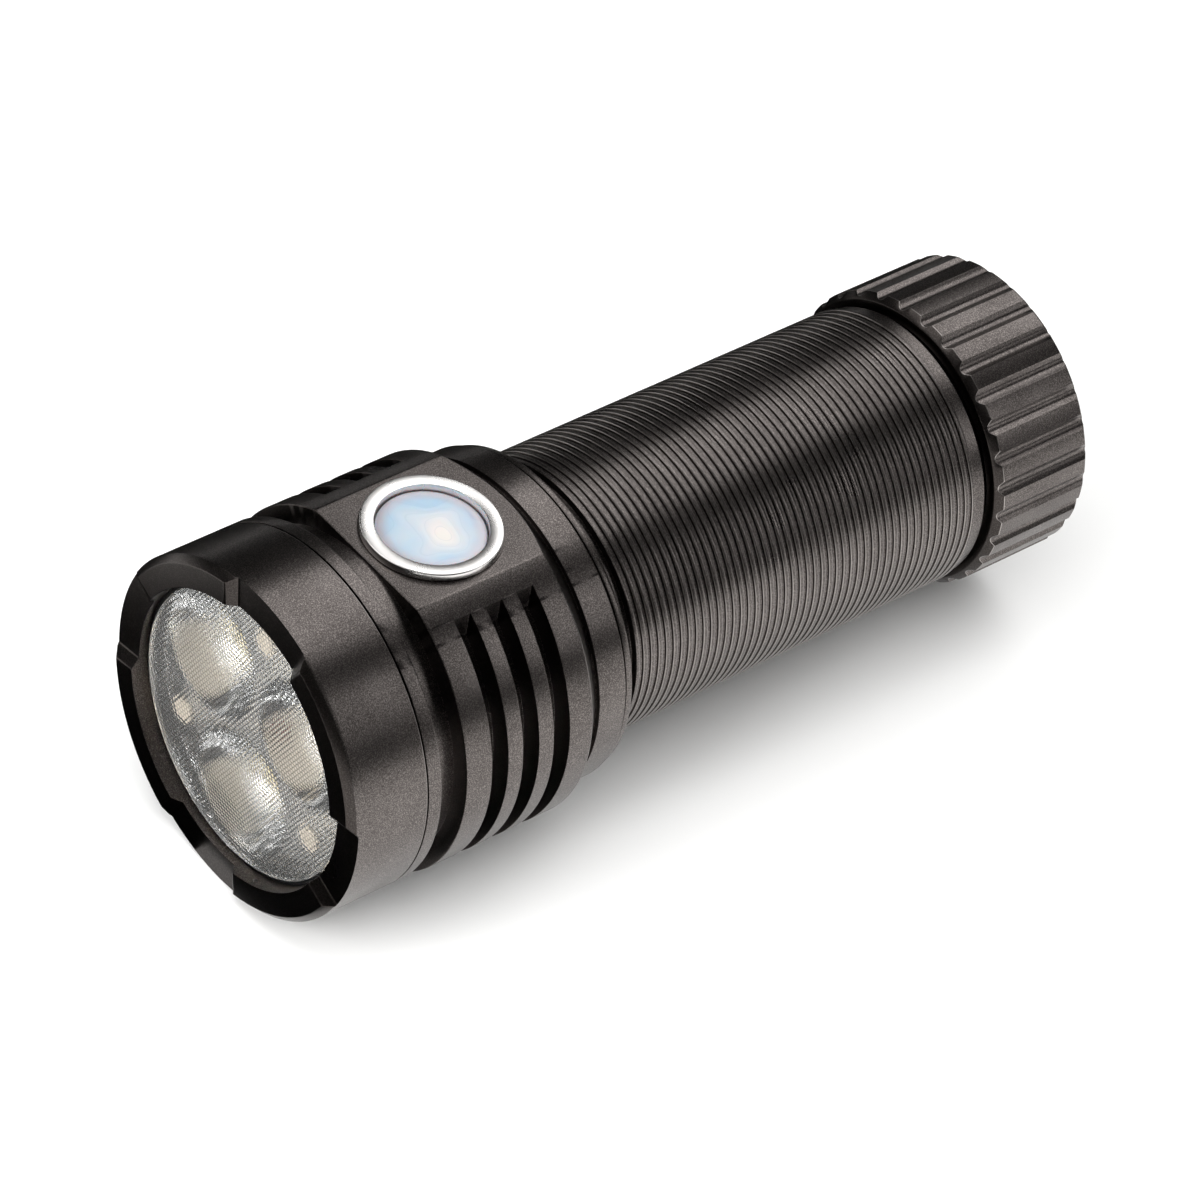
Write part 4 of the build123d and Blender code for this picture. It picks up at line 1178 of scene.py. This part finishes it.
@dataclass(frozen=True)
class TailCap:
    """The fluted cap that screws onto the tube's tail."""

    front: float = 91.15
    end: float = 104.319
    radius: float = 17.05
    bevel: float = 0.8
    rear_bevel: float = 0.4
    flutes: int = 30
    flute_width: float = 1.62
    flute_depth: float = 0.5
    bore_r: float = 14.98
    bore_end: float = 99.92
    pocket_r: float = 14.2
    floor: float = 102.62
    rim: float = 0.7
    edge: float = 0.07
    blend: float = 0.1
    # paler scalloped front edge: partly wear, partly painted edge highlight
    front_wear_and_glint: float = 1.0
    samples: int = 20

    def side(self, angle: np.ndarray) -> np.ndarray:
        """The cap's radius: a flute is the inner side of a circle about a point outside the cap.

        Args:
            angle: angles from the side switch, in radians.

        Returns:
            The radius at each angle, in millimetres.
        """
        cutter = (self.flute_width**2 / 4 + self.flute_depth**2) / (2 * self.flute_depth)
        middle = self.radius - self.flute_depth + cutter
        period = TURN / self.flutes
        aside = np.mod(angle + period / 2, period) - period / 2
        under = np.maximum(cutter**2 - (middle * np.sin(aside)) ** 2, 0.0)
        flute = middle * np.cos(aside) - np.sqrt(under)
        return soft_min(np.full_like(angle, self.radius), flute, self.blend)

    def dress(self) -> None:
        """Builds and dresses the cap."""
        angle = angles_with(self.flutes * self.samples)
        side = self.side(angle)
        front_r = self.radius - self.bevel
        rear_r = self.radius - self.rear_bevel
        corners = [
            (self.end, 0.0),
            (self.end, rear_r - self.rim),
            (self.end, np.minimum(side, rear_r), self.edge),
            (self.end - np.maximum(side - rear_r, 0), side, self.edge),
            (self.front + side - front_r, side, self.edge, self.front_wear_and_glint),
            (self.front, front_r, self.edge),
            (self.front, self.bore_r, self.edge),
            (self.bore_end, self.bore_r),
            (self.bore_end, self.pocket_r),
            (self.floor, self.pocket_r),
            (self.floor, 0.0),
        ]
        cap = turned("cap_shell", corners, angle)
        dress(cap, ANODISED, "tail", "anodised_aluminium", "tail_cap")


@dataclass(frozen=True)
class Optic:
    """The moulded optic: a beaded front, three cups that gather the light, and three legs.

    Real beads are about a quarter of a millimetre apart, and are drawn coarser to show.
    """

    face: float = 1.8
    boss_r: float = 16.15
    boss_end: float = 3.1
    flange_r: float = 17.0
    flange_end: float = 4.5
    cup_end: float = 12.0
    cup_circle_r: float = 8.9
    cup_r: float = 7.2
    cup_small_r: float = 3.3
    cup_bulge: float = 0.62
    pocket_r: float = 2.6
    pocket_depth: float = 1.9
    leg_circle_r: float = 12.5
    leg_r: float = 1.4
    leg_end: float = 12.9
    bead_pitch: float = 0.5
    bead_height: float = 0.06
    bead_field_r: float = 15.85
    bead_waist: float = 0.55
    waist_height: float = 0.72
    overhang: float = 0.6
    slab_back: float = 2.7
    field_front: float = 0.8
    lap: float = 0.03
    cup_root: float = 3.4
    cup_step: float = 0.1
    pocket_floor: tuple[float, float] = (1.2, 0.6)
    pocket_wall: tuple[float, float] = (0.5, 0.3)
    pocket_dish: float = 0.25
    leg_front: float = 4.3
    edge: float = 0.1

    def beads(self) -> Piece:
        """A slab whose front is a close-packed sheet of low domes.

        Each dome has a middle point at full height, a ring of six at the waist's share of the
        cell's size and of the height, and six corners at its foot, which it shares with its
        neighbours. All points lie on a lattice with whole-number places, by which they're matched.

        Returns:
            The slab.
        """
        reach = int((self.boss_r + 1) / self.bead_pitch) + 2
        i, j = np.meshgrid(np.arange(-2 * reach, 2 * reach), np.arange(-reach, reach), indexing="ij")
        across = self.bead_pitch * (i + 0.5 * j)
        up = self.bead_pitch * math.sqrt(0.75) * j
        inside = np.hypot(across, up) < self.boss_r + self.overhang
        centres = np.stack([across[inside], up[inside]], axis=-1)
        spoke = np.radians(30 + 60 * np.arange(6))
        hexagon = np.stack([np.cos(spoke), np.sin(spoke)], axis=-1) * self.bead_pitch / math.sqrt(3)
        offsets = np.concatenate([np.zeros((1, 2)), hexagon * self.bead_waist, hexagon])
        flat = (centres[:, None, :] + offsets[None, :, :]).reshape(-1, 2)
        places = np.rint(flat / self.bead_pitch * np.array([40, 40 * math.sqrt(3)])).astype(int)
        _, first, shared = np.unique(places, axis=0, return_index=True, return_inverse=True)
        height = self.bead_height * np.array([1.0] + [self.waist_height] * 6 + [0.0] * 6)
        station = self.face - np.tile(height, len(centres))[first]
        k = np.arange(6)
        nxt = (k + 1) % 6
        inner = np.stack([np.zeros(6, int), 1 + k, 1 + nxt], axis=-1)
        skirt = np.stack([1 + k, 7 + k, 7 + nxt, 1 + k, 7 + nxt, 1 + nxt], axis=-1).reshape(-1, 3)
        dome = np.concatenate([inner, skirt])
        faces = (dome[None, :, :] + 13 * np.arange(len(centres))[:, None, None]).reshape(-1, 3)
        slab = self.slab(flat[first], station, shared.ravel()[faces])
        self.mark_grooves(slab.data)
        return slab

    def slab(self, flat: np.ndarray, station: np.ndarray, faces: np.ndarray) -> Piece:
        """Closes an open sheet with a flat back.

        Every point has a twin on the back. The back's faces are the sheet's, reversed, and each
        edge that only one face has gets a wall of two triangles to its twin.

        Args:
            flat: the points' places across and up from the centre line, in millimetres.
            station: the points' stations, in millimetres.
            faces: the sheet's triangles.

        Returns:
            The slab.
        """
        count = len(flat)
        depth = np.concatenate([station, np.full(count, self.slab_back)])
        across, up = np.concatenate([flat, flat]).T
        height = BARREL.axis_height + up * MM
        points = np.stack([across * MM, BARREL.front + depth * MM, height], axis=-1)
        edges = np.concatenate([faces[:, [0, 1]], faces[:, [1, 2]], faces[:, [2, 0]]])
        code = edges[:, 0] * count + edges[:, 1]
        a, b = edges[~np.isin(code, edges[:, 1] * count + edges[:, 0])].T
        walls = np.stack([b, a, a + count, b, a + count, b + count], axis=-1).reshape(-1, 3)
        return mesh_object("optic_lens", points, np.concatenate([faces, faces[:, ::-1] + count, walls]))

    def mark_grooves(self, mesh: bpy.types.Mesh) -> None:
        """Stores how deep each point of the sheet lies, from 0 at a dome's top to 1 at its foot.

        Args:
            mesh: the slab's mesh.
        """
        places = np.empty(3 * len(mesh.vertices), np.float32)
        mesh.vertices.foreach_get("co", places)
        station = (places.reshape(-1, 3)[:, 1] - BARREL.front) / MM
        grooves = np.clip(1 - (self.face - station) / self.bead_height, 0, 1)
        depth = mesh.attributes.new("groove", "FLOAT", "POINT")
        depth.data.foreach_set("value", grooves.astype(np.float32))

    def disc(self, name: str, corners: Sequence[tuple], count: int = 192) -> Piece:
        """A body turned about the barrel from a few corners."""
        return turned(name, corners, angles_with(count))

    def aside(
        self, name: str, corners: Sequence[tuple], angle: float, circle_r: float, count: int
    ) -> Piece:
        """A body turned about a line beside the barrel's, on a circle about it.

        Args:
            name: the body's name.
            corners: (station, radius, cut-back) of its profile's corners, in millimetres.
            angle: the line's angle from the side switch, in radians.
            circle_r: the line's distance from the centre line, in millimetres.
            count: the number of angles.

        Returns:
            The body.
        """
        made = self.disc(name, corners, count)
        shift = Vector((math.sin(angle), 0, math.cos(angle))) * circle_r * MM
        made.data.transform(Matrix.Translation(shift))
        return made

    def cup(self, index: int) -> Piece:
        """One cup: its wall bends from the flange to the small end.

        The radius is (1-u)^2 times the wide end, plus 2u(1-u) times a middle value, plus u^2
        times the small end, as u goes from 0 to 1 along the cup.

        Args:
            index: which cup it is, from 0.

        Returns:
            The cup.
        """
        share = np.linspace(0, 1, 13)
        middle_r = self.cup_small_r + (self.cup_r - self.cup_small_r) * self.cup_bulge
        control = 2 * middle_r - (self.cup_r + self.cup_small_r) / 2
        radius = (1 - share) ** 2 * self.cup_r + 2 * share * (1 - share) * control
        radius = radius + share**2 * self.cup_small_r
        station = self.flange_end + share * (self.cup_end - self.flange_end)
        pocket = self.cup_end - self.pocket_depth
        wall, wall_edge = self.pocket_wall
        corners = [(self.cup_root, 0.0), (self.cup_root, self.cup_r - self.cup_step)]
        corners += [*zip(station, radius), (self.cup_end, self.pocket_r)]
        corners += [(pocket + wall, self.pocket_r, wall_edge), (pocket, *self.pocket_floor)]
        corners += [(pocket - self.pocket_dish, 0.0)]
        turn = math.radians(60 + 120 * index)
        return self.aside(f"cup_{index}", corners, turn, self.cup_circle_r, 96)

    def build(self) -> Piece:
        """Joins the beaded slab, the flanged disc and the cups into one moulding.

        Returns:
            The optic without its legs.
        """
        lens = self.beads()
        front = self.field_front
        field_r = self.bead_field_r
        field = [(front, 0.0), (front, field_r), (self.flange_end, field_r), (self.flange_end, 0.0)]
        combine(lens, [self.disc("field", field)], Cut.KEEP_COMMON)
        body = [
            (self.face + self.lap, 0.0),
            (self.face + self.lap, self.boss_r, self.edge),
            (self.boss_end, self.boss_r),
            (self.boss_end, self.flange_r, self.edge),
            (self.flange_end, self.flange_r, self.edge),
            (self.flange_end, 0.0),
        ]
        combine(lens, [self.disc("body", body), *[self.cup(i) for i in range(3)]], Cut.JOIN)
        return lens

    def legs(self) -> Piece:
        """The three legs, which show through the front as pale spots.

        Returns:
            The legs as one piece.
        """
        front = self.leg_front
        end = self.leg_end
        leg = [(front, 0.0), (front, self.leg_r), (end, self.leg_r, self.edge), (end, 0.0)]
        turns = [math.radians(120 * i) for i in range(3)]
        made = [self.aside("optic_legs", leg, turn, self.leg_circle_r, 48) for turn in turns]
        first, *others = made
        combine(first, others, Cut.JOIN)
        return first

    def dress(self) -> None:
        """Builds and dresses the optic and its legs."""
        dress(self.build(), ACRYLIC, "barrel", "clear_acrylic", "optic")
        dress(self.legs(), CREAM_PLASTIC, "barrel", "clear_acrylic")


@dataclass(frozen=True)
class SideSwitch:
    """The steel ring in the head's flat and the translucent button inside it."""

    station: float = 23.3
    flat: float = 18.5
    top: float = 19.33
    flange_r: float = 7.58
    stem_r: float = 6.8
    bore_r: float = 5.95
    counterbore_r: float = 6.4
    shoulder: float = 17.85
    stem_foot: float = 16.65
    button_r: float = 5.85
    button_flange_r: float = 6.3
    button_foot: float = 17.25
    button_top: float = 18.73
    plunger_r: float = 1.75
    plunger_foot: float = 15.9
    edge: float = 0.08
    fine_edge: float = 0.05
    bore_edge: float = 0.14
    proud: float = 0.01
    flange_chamfer: float = 0.12
    flange_round: tuple[float, float, float] = (0.08, 0.13, 0.22)
    button_rim: tuple[float, float] = (0.12, 0.3)
    button_step: tuple[float, float, float] = (0.1, 0.75, 0.2)
    button_dish: tuple[float, float, float] = (0.02, 1.4, 0.4)

    def centre(self) -> tuple[float, float]:
        """The switch's middle in plan, in millimetres of the frame."""
        return 0.0, BARREL.front / MM + self.station

    def dress(self) -> None:
        """Builds and dresses the ring and the button."""
        down, inset, top_inset = self.flange_round
        under = self.flat + self.proud
        ring = [
            (self.stem_foot, self.counterbore_r),
            (self.stem_foot, self.stem_r, self.edge),
            (under, self.stem_r),
            (under, self.flange_r - self.flange_chamfer),
            (self.flat + self.flange_chamfer, self.flange_r, self.fine_edge),
            (self.top - down, self.flange_r - inset, self.fine_edge),
            (self.top, self.flange_r - top_inset, self.fine_edge),
            (self.top, self.bore_r, self.bore_edge),
            (self.shoulder, self.bore_r),
            (self.shoulder, self.counterbore_r),
        ]
        steel = TurnedSteel(
            "turned_steel",
            "#f4f2f0",
            "#ece9e6",
            roughness=0.28,
            roughness_swing=0.02,
            grain=3.0,
            relief=0.0006,
            centre=self.centre(),
        )
        rim = turned_upright("switch_rim", self.station, ring, 192)
        dress(rim, steel, "barrel", "polished_steel", "switch_ring")
        dome = self.button_top
        button = [
            (self.plunger_foot, 0.0),
            (self.plunger_foot, self.plunger_r, self.edge),
            (self.button_foot, self.plunger_r),
            (self.button_foot, self.button_flange_r, self.edge),
            (self.shoulder, self.button_flange_r),
            (self.shoulder, self.button_r),
            (dome - self.button_rim[0], self.button_r, self.button_rim[1]),
        ]
        for drop, inset, edge in (self.button_step, self.button_dish):
            button.append((dome - drop, self.button_r - inset, edge))
        button.append((dome, 0.0))
        silicone = MilkySilicone(
            "translucent_silicone",
            "#93a9ba",
            "#8596a6",
            roughness=0.28,
            relief=0.006,
            centre=self.centre(),
        )
        skin = turned_upright("button_skin", self.station, button, 160)
        dress(skin, silicone, "button", "milky_silicone", "switch_button")


class Inside:
    """The pieces inside, which keep their own shapes and get their real materials."""

    FINISHES = {
        "centering_gasket": CREAM_PLASTIC,
        "led_board": WHITE_BOARD,
        "light_chips": PHOSPHOR,
        "board_screws": PLATED_STEEL,
        "light_lead_positive": RED_WIRE,
        "light_lead_negative": BLACK_WIRE,
        "driver_board": GREEN_BOARD,
        "driver_coil": FERRITE,
        "driver_chips": EPOXY,
        "driver_contact": BRASS,
        "driver_lock_ring": BRASS,
        "switch_diaphragm": RUBBER,
        "switch_spacer": WHITE_PLASTIC,
        "switch_board": GREEN_BOARD,
        "tact_switch": EPOXY,
        "tact_plunger": WHITE_PLASTIC,
        "indicator_lights": WHITE_PLASTIC,
        "switch_leads": BLACK_WIRE,
        "battery_cell": SLEEVE,
        "cell_insulator": FIBRE,
        "cell_contact": PLATED_STEEL,
        "tail_board": GREEN_BOARD,
        "tail_lock_ring": BRASS,
        "tail_spring": SPRING_WIRE,
    }

    def dress(self) -> None:
        """Gives every inner node its material."""
        for name, finish in self.FINISHES.items():
            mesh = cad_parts[name].data
            mesh.materials.clear()
            mesh.materials.append(finish.material())
            LOG.info("%s: %s", name, finish.name)


# ------------------------------------------------------------------ studio
@dataclass(frozen=True)
class Softbox:
    """An area light that looks at the studio's aim.

    toward is its direction from the aim, away its distance and size its width and height, in
    metres. A glow of 1 is a white that just fills the picture's range.
    """

    name: str
    toward: tuple[float, float, float]
    away: float
    size: tuple[float, float]
    glow: float
    reflected: bool = True

    def hang(self, aim: Vector) -> None:
        """Hangs the light.

        Args:
            aim: the point that it looks at, in metres.
        """
        data = bpy.data.lights.new(self.name, "AREA")
        data.shape = "RECTANGLE"
        data.size, data.size_y = self.size
        data.energy = self.glow * math.pi * self.size[0] * self.size[1]
        direction = Vector(self.toward).normalized()
        made = bpy.data.objects.new(self.name, data)
        made.location = aim + direction * self.away
        made.rotation_mode = "QUATERNION"
        made.rotation_quaternion = direction.to_track_quat("Z", "Y")
        made.visible_glossy = self.reflected
        bpy.context.scene.collection.objects.link(made)


@dataclass(frozen=True)
class Studio:
    """A pale floor, soft lights, a dark sheet that shapes the reflections, and the camera."""

    aim: tuple[float, float, float] = (0.00085, -0.00295, 0.01704)
    azimuth: float = 42.90
    elevation: float = 42.80
    roll: float = 11.59
    distance: float = 0.66016
    lens: float = 186.35
    sensor: float = 36.0
    floor_reach: float = 3.0
    fill: float = 0.02
    sheet_lift: float = 0.0002
    sheet: tuple[tuple[float, float], ...] = (
        (0.02, -0.6),
        (0.02, -0.053),
        (-0.004, -0.053),
        (-0.004, 0.5),
        (-0.6, 0.5),
        (-0.6, -0.076),
        (-0.037, -0.076),
        (-0.037, -0.6),
    )
    lights: tuple[Softbox, ...] = (
        Softbox("key", (-0.20, 0.54, 0.82), 0.75, (0.56, 0.5), 2.1),
        Softbox("side", (0.66, 0.54, 0.50), 0.75, (0.18, 0.4), 1.7),
        Softbox("front", (-0.40, -0.45, 0.80), 1.1, (0.8, 0.8), 2.0),
        Softbox("beside_camera", (0.50, -0.54, 0.68), 0.8, (0.32, 0.32), 0.6),
        Softbox("face", (-0.10, -0.93, 0.30), 0.9, (0.7, 0.7), 11.0, reflected=False),
        Softbox("overhead", (0.35, -0.05, 0.93), 1.2, (1.2, 1.2), 3.0, reflected=False),
    )

    def camera(self) -> None:
        """Places the camera by its azimuth, elevation, roll and distance from the aim."""
        azimuth = math.radians(self.azimuth)
        elevation = math.radians(self.elevation)
        level = Vector((math.cos(azimuth), math.sin(azimuth), 0))
        outward = Vector((math.sin(azimuth), -math.cos(azimuth), 0))
        back = outward * math.cos(elevation) + Vector((0, 0, math.sin(elevation)))
        up = back.cross(level)
        roll = math.radians(self.roll)
        right = level * math.cos(roll) + up * math.sin(roll)
        top = back.cross(right)
        data = bpy.data.cameras.new("camera")
        data.lens = self.lens
        data.sensor_width = self.sensor
        camera = bpy.data.objects.new("camera", data)
        turn = Matrix((right, top, back)).transposed().to_4x4()
        camera.matrix_world = Matrix.Translation(Vector(self.aim) + back * self.distance) @ turn
        bpy.context.scene.collection.objects.link(camera)
        bpy.context.scene.camera = camera

    def stand(self, name: str, corners: Sequence[tuple], finish: Finish) -> Piece:
        """Makes one flat face that belongs to the studio.

        Args:
            name: the face's name.
            corners: its corners, in metres.
            finish: its surface finish.

        Returns:
            The face's object.
        """
        mesh = bpy.data.meshes.new(name)
        mesh.from_pydata(corners, [], [tuple(range(len(corners)))])
        mesh.materials.append(finish.material())
        made = bpy.data.objects.new(name, mesh)
        bpy.context.scene.collection.objects.link(made)
        return made

    def dark_sheet(self) -> None:
        """Lays a matt dark sheet that only reflections see just above the floor."""
        low = CAD_BOX[0].z + self.sheet_lift
        finish = Finish("dark_sheet_matt", "#050505", "#050505", 1.0, 0.0, grain=50.0)
        made = self.stand("dark_sheet", [(x, y, low) for x, y in self.sheet], finish)
        made.visible_camera = False
        made.visible_diffuse = False
        made.visible_shadow = False
        made.visible_transmission = False

    def floor(self) -> None:
        """Lays a wide pale floor at the height that the object rests on."""
        reach, low = self.floor_reach, CAD_BOX[0].z
        corners = [(x * reach, y * reach, low) for x, y in ((-1, -1), (1, -1), (1, 1), (-1, 1))]
        self.stand("floor", corners, PaperSweep("pale_floor", "#f4f4f3", "#f1f1f0", 0.9, grain=400.0))

    def world(self) -> None:
        """A pale surround for the eye, and a dim one for reflections and fill."""
        world = bpy.data.worlds.new("surround")
        bpy.context.scene.world = world
        world.use_nodes = True
        tree = world.node_tree
        tree.nodes.clear()
        path = add_node(tree, "ShaderNodeLightPath")
        white = linear("#ffffff")
        seen = add_node(tree, "ShaderNodeBackground", {"Color": white, "Strength": 1.0})
        fill = add_node(tree, "ShaderNodeBackground", {"Color": white, "Strength": self.fill})
        inputs = {0: path.outputs["Is Camera Ray"], 1: fill.outputs[0], 2: seen.outputs[0]}
        mixed = add_node(tree, "ShaderNodeMixShader", inputs)
        add_node(tree, "ShaderNodeOutputWorld", {"Surface": mixed.outputs[0]})

    def build(self) -> None:
        """Sets up the camera, the floor, the surround and the lights."""
        self.camera()
        self.floor()
        self.world()
        self.dark_sheet()
        for light in self.lights:
            light.hang(Vector(self.aim))
        bpy.context.scene.view_settings.view_transform = "Standard"


def main() -> None:
    """Builds and dresses each sub-assembly in turn, then the studio."""
    logging.basicConfig(level=logging.INFO, format="%(name)s: %(message)s")
    for part in (Bezel(), Head(), Tube(), TailCap(), Optic(), SideSwitch(), Inside()):
        LOG.info("building %s", type(part).__name__)
        part.dress()
    Studio().build()


if __name__ == "__main__":
    main()
